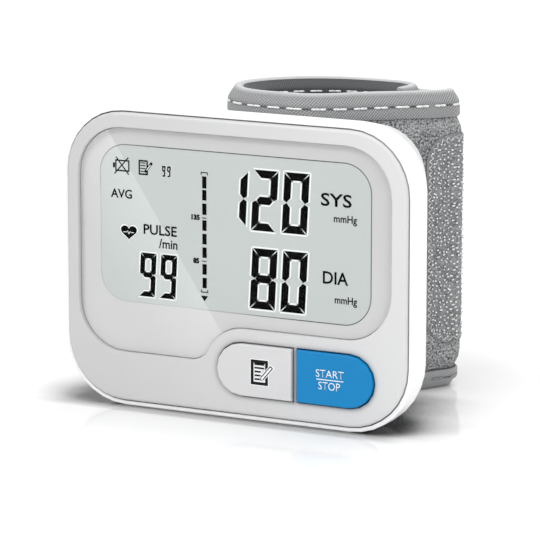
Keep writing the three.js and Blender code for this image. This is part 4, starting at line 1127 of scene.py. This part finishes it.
def hook_section(along):
    low, high = hook_edges(along)
    span = high - low - 2 * hook_edge
    heights = [low + hook_edge + span * i / hook_levels for i in range(hook_levels + 1)]
    face = [(hook_floor(along, up), up) for up in heights]
    back = [(cover_off(along, up) - hook_root, up) for up in [high] + heights[::-1] + [low]]
    low_rim = (hook_floor(along, low) - hook_bevel, low)
    high_rim = (hook_floor(along, high) - hook_bevel, high)
    return [back[-1], low_rim] + face + [high_rim] + back[:-1]


hook_step = 0.9
hook_gap = 0.03
corner_shares = (0.01, 0.04, 0.1, 0.18, 0.3, 0.45, 0.65)
corner_marks = [hook_start + hook_corner * share for share in corner_shares]
hook_marks = thinned(stations(hook_start, hook_end, hook_step) + corner_marks, hook_gap)
hook_patch = bending(swept("hook_patch_tape", hook_marks, hook_section, hook_base))

hook_jitter = 0.35
hook_lean = 0.14
hook_tall = (0.22, 0.42)
hook_margin = 1.3
hook_crowding = 0.9
hook_rings = ((0.0, 0.0, 0.11), (0.7, 0.3, 0.13), (1.0, 1.0, 0.18))
hook_corners = ((-1, -1), (1, -1), (1, 1), (-1, 1))


# Tiny bent hooks in staggered rows, each a four-sided bar through three rings, given as shares of its height
# and lean and its half thickness. floor_off(along, up) is the face they stand on.
def hooks(name, start, end, edges, floor_off, away, pitch, seed):
    maker = random.Random(seed)
    points, faces = [], []
    along = start
    column = 0
    while along < end:
        low, high = edges(along)
        up = low + hook_margin + pitch / 2 * (column % 2)
        while up < high - hook_margin:
            at = along + maker.uniform(-hook_jitter, hook_jitter)
            rise = up + maker.uniform(-hook_jitter, hook_jitter)
            lean = maker.uniform(-hook_lean, hook_lean)
            tall = maker.uniform(*hook_tall)
            foot = floor_off(at, rise) - away * hook_root
            faces += tube_faces(len(points), len(hook_rings), len(hook_corners))
            for tall_share, lean_share, thick in hook_rings:
                off = foot + away * tall * tall_share
                for da, du in hook_corners:
                    points.append(on_band(at + lean * lean_share + da * thick, off, rise + du * thick))
            up += pitch
        along += pitch * hook_crowding
        column += 1
    return mesh_piece(name, points, faces, hook_nylon, smooth=False)


outward = 1
inward = -1
hook_span = (hook_start + 1.6, hook_end - 0.6)
hook_pitch = 1.15
hook_seed = 41
hook_rows = hooks("strap_hooks", *hook_span, hook_edges, hook_floor, outward, hook_pitch, hook_seed)
bending(hook_rows)

zigzag_half = 0.45
zigzag_pace = 0.75
zigzag_radius = 0.11
zigzag_rise = 0.1
zigzag_inset = 0.9
tiny = 1e-9


# The zigzag that sews the patch down, along its top, start and bottom edges
def zigzag(name, path):
    points, faces, corners = [], [], []
    lengths = distances(path)
    count = int(lengths[-1] / zigzag_pace)
    for i in range(count + 1):
        want = lengths[-1] * i / count
        j = max(k for k in range(len(path) - 1) if lengths[k] <= want + tiny)
        size = lengths[j + 1] - lengths[j]
        share = (want - lengths[j]) / size
        da, du = path[j + 1][0] - path[j][0], path[j + 1][1] - path[j][1]
        shift = zigzag_half * (1 if i % 2 else -1) / size
        corners.append((path[j][0] + share * da - du * shift, path[j][1] + share * du + da * shift))
    for a, b in zip(corners, corners[1:]):
        off = hook_floor(*a) + zigzag_rise
        add_bar(points, faces, on_band(a[0], off, a[1]), on_band(b[0], off, b[1]), zigzag_radius)
    return mesh_piece(name, points, faces, zigzag_thread)


# One corner of the path, from the patch's start to its lower (-1) or upper (1) edge
def corner_path(corner_up, sign):
    radius = hook_corner - zigzag_inset
    turns = [math.radians(degrees) for degrees in range(0, 91, 15)]
    middle = hook_start + hook_corner
    return [(middle - radius * math.cos(turn), corner_up + sign * radius * math.sin(turn)) for turn in turns]


run_end = hook_end - 0.4
low_run = [(run_end, hook_low + zigzag_inset)] + corner_path(hook_low + hook_corner, -1)[::-1]
high_run = corner_path(hook_high - hook_corner, 1) + [(run_end, hook_high - zigzag_inset)]
patch_zigzag = bending(zigzag("patch_zigzag", low_run + high_run))

# The closure pad on the tail's inner face
pad_start = 142.39
pad_end = 171.6
pad_low = 14.0
pad_high = 55.5
pad_back = -2.0
pad_face = -2.75
pad_corner = 4.0
pad_bevel = 0.1
pad_rim = ((pad_back, 0.0), (pad_face + pad_bevel, 0.05), (pad_face, 0.35))


def pad_edges(along):
    inset = corner_inset(min(along - pad_start, pad_end - along), pad_corner)
    return pad_low + inset, pad_high - inset


def pad_section(along):
    low, high = pad_edges(along)
    low_rim = [(off, low + inset) for off, inset in pad_rim]
    face = [(pad_face, low + (high - low) * share) for share in (0.15, 0.3, 0.45, 0.6, 0.75, 0.85)]
    return low_rim + face + [(off, high - inset) for off, inset in reversed(pad_rim)]


def pad_floor(along, up):
    return pad_face


pad_step = 1.2
pad_marks = stations(pad_start, pad_end, pad_step)
closure_pad = tail_piece(swept("closure_pad_tape", pad_marks, pad_section, hook_base))
pad_span = (pad_start + 1.2, pad_end - 1.0)
pad_pitch = 1.2
pad_seed = 43
closure_hooks = hooks("closure_pad_hooks", *pad_span, pad_edges, pad_floor, inward, pad_pitch, pad_seed)
tail_piece(closure_hooks)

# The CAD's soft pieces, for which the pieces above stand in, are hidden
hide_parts("cuff_cover", "cuff_stiffener", "strap_foam")
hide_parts("cuff_lining", "air_bladder")
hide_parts("tail_cover", "tail_foam")
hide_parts("tail_lining")
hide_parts("cuff_top_tape")
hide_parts("tail_top_tape")
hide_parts("cuff_bottom_tape")
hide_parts("tail_bottom_tape")
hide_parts("cuff_end_tape")
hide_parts("tail_end_tape")
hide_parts("hook_patch")
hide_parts("tail_hook_pad")


# The width of a binding laid flat
def tape_wrap(height, radius):
    return 2 * (height - radius) + math.pi * radius


wraps = [tape_wrap(height, rim_radius) for height in (top_tape_height, low_tape_height) for _ in range(2)]
wraps += [tape_wrap(end_reach, tape_outer)] * 2
lengths = (band_cut, route_length - band_cut) * 2 + (end_high - end_low,) * 2
for piece, wrap, length in zip(tapes, wraps, lengths):
    wrap * MM
    length * MM
(hook_end - hook_start) * MM

# Rigid pieces keep their solids
steel = steel_material()
finishes = (
    (shell_white, "rear_shell battery_door"),
    (bezel_grey, "front_bezel"),
    (lens_material(), "display_lens"),
    (display_material(), "lcd_panel"),
    (key_grey, "memory_key"),
    (key_blue, "start_stop_key"),
    (inner_white, "lcd_holder air_block pump_head cuff_carrier memory_switch_stem start_stop_switch_stem"),
    (chip_black, "lcd_contact_strip memory_switch start_stop_switch control_chip"),
    (chip_black, "pressure_sensor release_valve"),
    (board_material(), "circuit_board"),
    (cell_material(), "battery_1 battery_2"),
    (steel, "battery_bridge_contact battery_plus_contact battery_minus_contact pump_motor"),
    (steel, "pump_crankshaft valve_rod case_screw_1 case_screw_2 case_screw_3 case_screw_4"),
    (steel, "carrier_screw_1 carrier_screw_2"),
    (hose_material(), "pump_hose valve_hose sensor_hose"),
    (bladder_material(), "air_bladder"),
    (cloth, "cuff_cover tail_cover"),
    (lining, "cuff_lining tail_lining cuff_stiffener strap_foam tail_foam"),
    (twill, "cuff_top_tape cuff_bottom_tape cuff_end_tape tail_top_tape tail_bottom_tape tail_end_tape"),
    (hook_base, "hook_patch tail_hook_pad"),
)
for material, nodes in finishes:
    for node in nodes.split():
        dress(node, material)

# The display's face film fills the gap between the lens and the bezel's ledge. The marks lie on it in layers.
film_front_y = -2.79
film_depth = 0.19
film_margin = 1.2
halo_y = -2.81
mark_y = -2.83
mark_depth = 0.015
mark_step = 0.006
segment_ink = ink_material("display_segment_ink", rgb(1, 1, 1), rgb(5, 6, 6), 0.6, 0.03)
halo_ink = ink_material("display_halo", rgb(236, 241, 239), rgb(244, 248, 246), 0.6, 0.1)


def rounded_box(half_width, half_height, middle_z, radius, turns=10):
    outline = []
    for corner, (sign_x, sign_z) in enumerate(((1, 1), (-1, 1), (-1, -1), (1, -1))):
        for i in range(turns + 1):
            angle = math.pi / 2 * (corner + i / turns)
            outline.append((
                sign_x * (half_width - radius) + radius * math.cos(angle),
                middle_z + sign_z * (half_height - radius) + radius * math.sin(angle),
            ))
    return outline


def signed_area(outline):
    return sum(ax * bz - bx * az for (ax, az), (bx, bz) in zip(outline, outline[1:] + outline[:1])) / 2


# Flat outlines in x and z with a little depth
def plates(name, outlines, front_y, depth, material, body):
    points, faces = [], []
    for outline in outlines:
        ordered = outline[::-1] if signed_area(outline) > 0 else outline
        faces += tube_faces(len(points), 2, len(outline))
        for y in (front_y, front_y + depth):
            points += [(x, y, z) for x, z in ordered]
    piece = mesh_piece(name, points, faces, material, smooth=False)
    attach(piece, body)
    return piece


film_outline = rounded_box(
    window_half[0] + film_margin, window_half[1] + film_margin, window_middle[1], window_radius + film_margin
)
face_film = display_face_material()
plates("display_face_film", [film_outline], film_front_y, film_depth, face_film, "housing")

# The marks were laid out on a plane 2.09 mm behind the face. This carries them to it, as seen from the
# front right.
face_scale = 0.9969
face_shift = (1.093, 0.58)


def on_face(outline):
    return [(x * face_scale + face_shift[0], z * face_scale + face_shift[1]) for x, z in outline]


def face_plates(name, outlines, front_y=mark_y, material=segment_ink):
    carried = [on_face(outline) for outline in outlines]
    return plates(name, carried, front_y, mark_depth, material, "housing")


segment_sets = {"0": "abcdef", "1": "bc", "2": "abged", "8": "abcdefg", "9": "abcdfg"}
display_slant = 0.055


# One seven-segment digit inside a box. grow widens every stroke for the pale surround.
def digit_outlines(symbol, box, stroke, grow=0.0):
    x0, x1, z0, z1 = box
    left, right = x0, x1 - display_slant * (z1 - z0)
    middle = (z0 + z1) / 2
    half = stroke / 2
    gap = stroke * 0.09

    # The top stroke for sign 1, the bottom one for sign -1
    def level(edge, sign):
        outer, inner = edge + sign * grow, edge - sign * (stroke + grow)
        return [(left + gap - grow, outer), (right - gap + grow, outer), (right - gap - stroke, inner),
                (left + gap + stroke, inner)]

    centre = [
        (left + half + gap - grow, middle), (left + stroke, middle + half + grow),
        (right - stroke, middle + half + grow), (right - half - gap + grow, middle),
        (right - stroke, middle - half - grow), (left + stroke, middle - half - grow),
    ]

    # A side stroke from the middle to an edge, up for sign 1 and down for -1, grown inward by side
    def upright(outer_x, side, edge, sign):
        o, i = outer_x - side * grow, outer_x + side * (stroke + grow)
        return [
            (o, edge - sign * (gap - grow)), (i, edge - sign * (stroke + gap)),
            (i, middle + sign * (half + gap)), (outer_x + side * half, middle + sign * gap * 0.5),
            (o, middle + sign * half * 0.6),
        ]

    shapes = {
        "a": level(z1, 1),
        "b": upright(right, -1, z1, 1),
        "c": upright(right, -1, z0, -1),
        "d": level(z0, -1),
        "e": upright(left, 1, z0, -1),
        "f": upright(left, 1, z1, 1),
        "g": centre,
    }
    return [[(x + display_slant * (z - z0), z) for x, z in shapes[letter]] for letter in segment_sets[symbol]]


# Each number's digits with their boxes, its stroke and the reach of its pale surround
numbers = {
    "upper": ("120", ((-4.6, 2.1, 43.0, 55.3), (2.74, 9.56, 42.3, 55.87), (10.3, 17.18, 42.36, 55.91)),
              1.75, 0.4),
    "lower": ("80", ((2.4, 9.35, 24.76, 38.36), (10.01, 16.78, 24.71, 38.39)), 1.75, 0.4),
    "pulse": ("99", ((-25.52, -20.95, 24.87, 34.84), (-20.3, -15.7, 24.87, 34.84)), 1.2, 0.3),
    "memory": ("99", ((-19.57, -18.5, 52.45, 54.93), (-18.28, -17.2, 52.45, 54.93)), 0.36, 0.1),
}
for name, (symbols, boxes, stroke, halo) in numbers.items():
    dark, pale = [], []
    for symbol, box in zip(symbols, boxes):
        dark += digit_outlines(symbol, box, stroke)
        pale += digit_outlines(symbol, box, stroke, halo)
    face_plates(f"{name}_digits", dark)
    face_plates(f"{name}_halo", pale, halo_y, halo_ink)


# Words and units: built-in letters fitted to a box and given a little depth
def lettering(name, words, corners, front_y, depth, material, heavy, body):
    (x0, z0), (x1, z1) = corners
    curve = bpy.data.curves.new(name, "FONT")
    curve.body = words
    curve.offset = heavy
    curve.resolution_u = 3
    temporary = bpy.data.objects.new(name + "_curve", curve)
    bpy.context.scene.collection.objects.link(temporary)
    bpy.context.view_layer.update()
    flat = bpy.data.meshes.new_from_object(temporary.evaluated_get(bpy.context.evaluated_depsgraph_get()))
    bpy.data.objects.remove(temporary)
    xs = [vertex.co.x for vertex in flat.vertices]
    ys = [vertex.co.y for vertex in flat.vertices]
    wide, tall = max(xs) - min(xs), max(ys) - min(ys)
    for vertex, x, y in zip(flat.vertices, xs, ys):
        across = x0 + (x - min(xs)) / wide * (x1 - x0)
        up = z0 + (y - min(ys)) / tall * (z1 - z0)
        vertex.co = Vector((across, front_y + depth, up)) * MM
    flat.materials.clear()
    flat.materials.append(material)
    piece = bpy.data.objects.new(name, flat)
    bpy.context.scene.collection.objects.link(piece)
    thick = piece.modifiers.new("depth", "SOLIDIFY")
    thick.thickness = depth * MM
    thick.offset = 1.0
    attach(piece, body)


# Each word with its lower left and upper right corner, and how much heavier than the letters it is
display_words = {
    "mark_avg": ("AVG", (-32.55, 46.77), (-27.15, 48.82), 0.015),
    "mark_pulse": ("PULSE", (-24.23, 39.09), (-15.81, 41.4), 0.015),
    "mark_min": ("/min", (-20.35, 36.21), (-15.65, 38.36), 0.015),
    "mark_sys": ("SYS", (19.89, 49.2), (27.31, 52.1), 0.015),
    "mark_dia": ("DIA", (20.41, 32.0), (26.53, 34.8), 0.015),
    "mark_unit_upper": ("mmHg", (23.02, 45.3), (28.6, 47.5), 0.015),
    "mark_unit_lower": ("mmHg", (23.31, 27.3), (28.7, 29.5), 0.015),
    "mark_scale_high": ("135", (-12.1, 43.4), (-10.0, 44.65), 0.06),
    "mark_scale_low": ("85", (-11.7, 33.6), (-10.2, 34.85), 0.06),
}
for name, (text, *corners, heavy) in display_words.items():
    lettering(name, text, on_face(corners), mark_y, mark_depth, segment_ink, heavy, "housing")


def box_path(x0, x1, z0, z1):
    return [(x0, z0), (x1, z0), (x1, z1), (x0, z1)]


# A frame of even width inside a box, as four plates that meet at mitred corners
def frame_plates(x0, x1, z0, z1, width):
    outer = box_path(x0, x1, z0, z1)
    inner = box_path(x0 + width, x1 - width, z0 + width, z1 - width)
    return [[outer[i - 1], outer[i], inner[i], inner[i - 1]] for i in range(4)]


# A stroke of even width between points, as separate four-sided plates
def strokes(path, width):
    made = []
    for (ax, az), (bx, bz) in zip(path, path[1:]):
        share = width / 2 / math.hypot(bx - ax, bz - az)
        ex, ez = (bx - ax) * share, (bz - az) * share
        made.append([(ax - ex - ez, az - ez + ex), (ax - ex + ez, az - ez - ex),
                     (bx + ex + ez, bz + ez - ex), (bx + ex - ez, bz + ez + ex)])
    return made


def level_stroke(x0, x1, z, width):
    return strokes([(x0, z), (x1, z)], width)


fine = 0.2

# The scale: dashes between two small brackets, with two ticks on them and a pointer below
dash_x = (-9.35, -8.3)
dash_spans = [(50.64, 53.32), (47.96, 50.28), (44.73, 47.24), (41.14, 43.48), (38.09, 40.43), (35.03, 37.37),
              (31.24, 33.59), (28.17, 30.52)]
bracket_x = (-9.6, -8.05)
brackets = ((53.75, 54.2), (27.7, 27.25))
tick_x = (-9.35, -8.45)
ticks = (44.0, 34.25)
pointer = [(-9.75, 26.4), (-8.0, 26.4), (-8.87, 25.2)]
scale_marks = [box_path(*dash_x, low, high) for low, high in dash_spans]
for inner_z, outer_z in brackets:
    left, right = bracket_x
    scale_marks += strokes([(left, inner_z), (left, outer_z), (right, outer_z), (right, inner_z)], fine)
for tick in ticks:
    scale_marks += level_stroke(*tick_x, tick, fine)
face_plates("scale_bar", scale_marks + [pointer])

# The low battery sign: a crossed cell
cell_frame = (-31.35, -27.75, 52.85, 55.45, 0.3)
cell_nub = (-31.95, -31.45, 53.6, 54.7)
cross_lines = ([(-31.5, 52.3), (-28.1, 55.95)], [(-31.1, 55.95), (-28.0, 52.3)])
cross_width = 0.26
face_plates("battery_sign", frame_plates(*cell_frame) + [box_path(*cell_nub)])
face_plates("battery_sign_cross", [plate for line in cross_lines for plate in strokes(line, cross_width)],
            mark_y - mark_step)

# The memory sign: a notepad with lines and a pencil
note_frame = (-25.4, -23.05, 52.45, 55.8, 0.34)
note_line_x = (-24.85, -23.75)
note_levels = (53.25, 53.9, 54.55, 55.15)
pencil_line = [(-23.6, 53.35), (-22.2, 55.1)]
pencil_core = [(-23.3, 53.65), (-22.45, 54.75)]
pencil_width = 0.6
note_lines = [plate for z in note_levels for plate in level_stroke(*note_line_x, z, fine)]
face_plates("memory_sign", frame_plates(*note_frame) + note_lines)
face_plates("memory_sign_pencil", strokes(pencil_line, pencil_width), mark_y - mark_step)
face_plates("memory_sign_pencil_core", strokes(pencil_core, fine), mark_y - 2 * mark_step, halo_ink)


# The pulse sign: a heart in a box, with a beat line across its middle
def heart(middle_x, low_z, width, height, points=40):
    made = []
    for i in range(points):
        t = 2 * math.pi * i / points
        x = 16 * math.sin(t) ** 3
        z = 13 * math.cos(t) - 5 * math.cos(2 * t) - 2 * math.cos(3 * t) - math.cos(4 * t)
        made.append((middle_x + x / 32 * width, low_z + (z + 17) / 29 * height))
    return made


heart_box = (-28.0, 37.37, 4.1, 3.25)
heart_halo_box = (-28.0, 37.1, 4.6, 3.8)
beat = [(-29.3, 39.15), (-28.6, 39.15), (-28.35, 39.5), (-28.0, 38.75), (-27.7, 39.35), (-27.45, 39.15),
        (-26.8, 39.15)]
beat_width = 0.15
face_plates("pulse_sign", [heart(*heart_box)])
face_plates("pulse_sign_halo", [heart(*heart_halo_box)], halo_y, halo_ink)
face_plates("pulse_sign_beat", strokes(beat, beat_width), mark_y - mark_step, halo_ink)

# Marks printed on the two keys
key_face_y = -4.93
print_depth = 0.02
black_print = ink_material("key_print_black", rgb(3, 3, 4), rgb(10, 10, 12), 0.5, 0.2)
white_print = ink_material("key_print_white", rgb(238, 241, 243), rgb(250, 251, 252), 0.4)

# The memory key's notepad: its box, frame, and each line's height and right end
key_note = (4.85, 9.1, 8.65, 14.3)
key_note_frame = 0.68
key_note_lines = ((9.95, 7.15), (10.8, 7.15), (11.65, 7.15), (12.5, 7.95), (13.3, 7.95))
key_note_left = 6.0
key_note_line = 0.4
key_pencil = [(7.85, 10.45), (9.75, 12.65)]
key_pencil_width = 0.85
key_pencil_tip = ((7.2, 9.7), (8.1, 10.0), (7.45, 10.75))


def note_mark(grow):
    x0, x1, z0, z1 = key_note
    more = grow / 2
    made = frame_plates(x0 - more, x1 + more, z0 - more, z1 + more, key_note_frame + grow)
    for z, right in key_note_lines:
        made += level_stroke(key_note_left, right, z, key_note_line + grow)
    return made


def pencil_mark(grow):
    (tip_x, tip_z), (right_x, right_z), (left_x, left_z) = key_pencil_tip
    more, less = grow / 2, grow / 3
    tip = [(tip_x - more, tip_z - more), (right_x + less, right_z), (left_x, left_z + less)]
    return strokes(key_pencil, key_pencil_width + grow) + [tip]


# Each layer with its outlines, how far it stands before the key's face, and its ink
memory_layers = (
    ("memory_key_halo", note_mark(0.34) + pencil_mark(0.5), -0.012, white_print),
    ("memory_key_note", note_mark(0.0), 0.005, black_print),
    ("memory_key_pencil_halo", pencil_mark(0.42), 0.015, white_print),
    ("memory_key_pencil", pencil_mark(0.05), 0.03, black_print),
    ("memory_key_pencil_core", pencil_mark(-0.42), 0.045, white_print),
)
for name, outlines, before, ink in memory_layers:
    plates(name, outlines, key_face_y - before, print_depth, ink, "memory_key")

key_words = {
    "key_word_start": ("START", (20.82, 12.05), (27.56, 13.75)),
    "key_word_stop": ("STOP", (21.45, 9.3), (26.7, 11.05)),
}
lighter = -0.004
for name, (text, *corners) in key_words.items():
    lettering(name, text, corners, key_face_y, print_depth, white_print, lighter, "start_key")
key_line = (21.1, 27.4, 11.55, fine)
plates("key_line", level_stroke(*key_line), key_face_y, print_depth, white_print, "start_key")

# Stage: floor, backdrop, lights and camera. The floor has a painted shadow under the object, darkest at its
# left end.
floor_shade_reach = 30
floor_left_rise = (-66, -44, 0.2, 1.0)
floor_left_fall = (-34, -24, 1.0, 0.0)
floor_left_shadow = 0.17
floor_under = (0.46, 0.72, 0.0, 0.78)
floor_beside = (0.72, 0.99, 0.0, 0.22)
floor_behind = (26, 38, 0.0, 0.82)
floor_before = (-9, -3, 0.88, 0.0)
floor_glow = 0.1


def floor_material():
    shader = Shader("studio_floor", specular=0.13)
    bare = shader.mix(shader.noise(8.0, 2.0), grey(247), grey(250))
    shader.rough(shader.noise(300.0), 0.07, 0.11)
    across, depth, _ = shader.parts()
    # Painted shadow: darker where the floor is hidden from the room, more so at the left end, less behind and
    # before
    left = across.spread(*floor_left_rise) * across.spread(*floor_left_fall)
    openness = shader.openness(floor_shade_reach, samples=8) - left * floor_left_shadow
    unshaded_share = openness.spread(*floor_under) + openness.spread(*floor_beside)
    unshaded_share = unshaded_share.most(depth.spread(*floor_behind)).most(depth.spread(*floor_before))
    seen = shader.is_seen()
    # The painted shadow's colour, shown only where the floor is seen
    shader.paint(shader.mix(unshaded_share.most(1.0 - seen), grey(12), bare))
    glow = shader.read("ShaderNodeEmission", 0, {"Strength": seen * unshaded_share * floor_glow})
    shader.show(shader.read("ShaderNodeAddShader", 0, {0: shader.body, 1: glow}))
    return shader.material


floor_half = 1500.0
floor_z = -0.02
floor_corners = box_path(-floor_half, floor_half, -floor_half, floor_half)
floor_points = [(x, y, floor_z) for x, y in floor_corners]
mesh_piece("studio_floor", floor_points, [(0, 1, 2, 3)], floor_material())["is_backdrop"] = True

# The room is white where it is seen, and lights the object at a lower level
room_level = 0.6
shown_level = 1.0
world = bpy.data.worlds.new("studio")
bpy.context.scene.world = world
world.use_nodes = True
room = Nodes(world.node_tree)


def backdrop(level):
    return room.read("ShaderNodeBackground", 0, {"Color": (1, 1, 1, 1), "Strength": level})


room_light = room.mix_shaders(room.is_seen(), backdrop(room_level), backdrop(shown_level))
room.node("ShaderNodeOutputWorld", {"Surface": room_light})


def aimed(thing, position, target):
    thing.location = position
    thing.rotation_euler = (Vector(target) - Vector(position)).to_track_quat("-Z", "Y").to_euler()
    bpy.context.scene.collection.objects.link(thing)


# Each lamp's place and target in metres, its side and its power
lamps = {
    "key_lamp": ((-0.9, -1.25, 1.5), (0, 0, 0.03), 0.7, 16.0),
    "fill_lamp": ((1.6, -1.0, 1.0), (0, 0, 0.03), 1.0, 12.0),
    "back_lamp": ((0.1, 0.8, 0.8), (0, 0.03, 0.04), 0.5, 3.0),
    "top_lamp": ((0.1, 0.15, 1.1), (0, 0.03, 0.04), 0.5, 2.4),
}
for name, (position, target, side, power) in lamps.items():
    lamp = bpy.data.lights.new(name, "AREA")
    lamp.shape = "SQUARE"
    lamp.size = side
    lamp.energy = power
    aimed(bpy.data.objects.new(name, lamp), position, target)

camera_position = (0.3512, -0.6724, 0.1863)
camera_target = (0.00914, -0.004, 0.03453)
camera_data = bpy.data.cameras.new("camera")
camera_data.lens = 233.7
camera_data.sensor_width = 36.0
camera_data.clip_start = 0.05
camera_data.clip_end = 20.0
camera = bpy.data.objects.new("camera", camera_data)
aimed(camera, camera_position, camera_target)
bpy.context.scene.camera = camera
bpy.context.scene.view_settings.view_transform = "Standard"

boxes = {"cad": cad_bounds, "visual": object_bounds()}
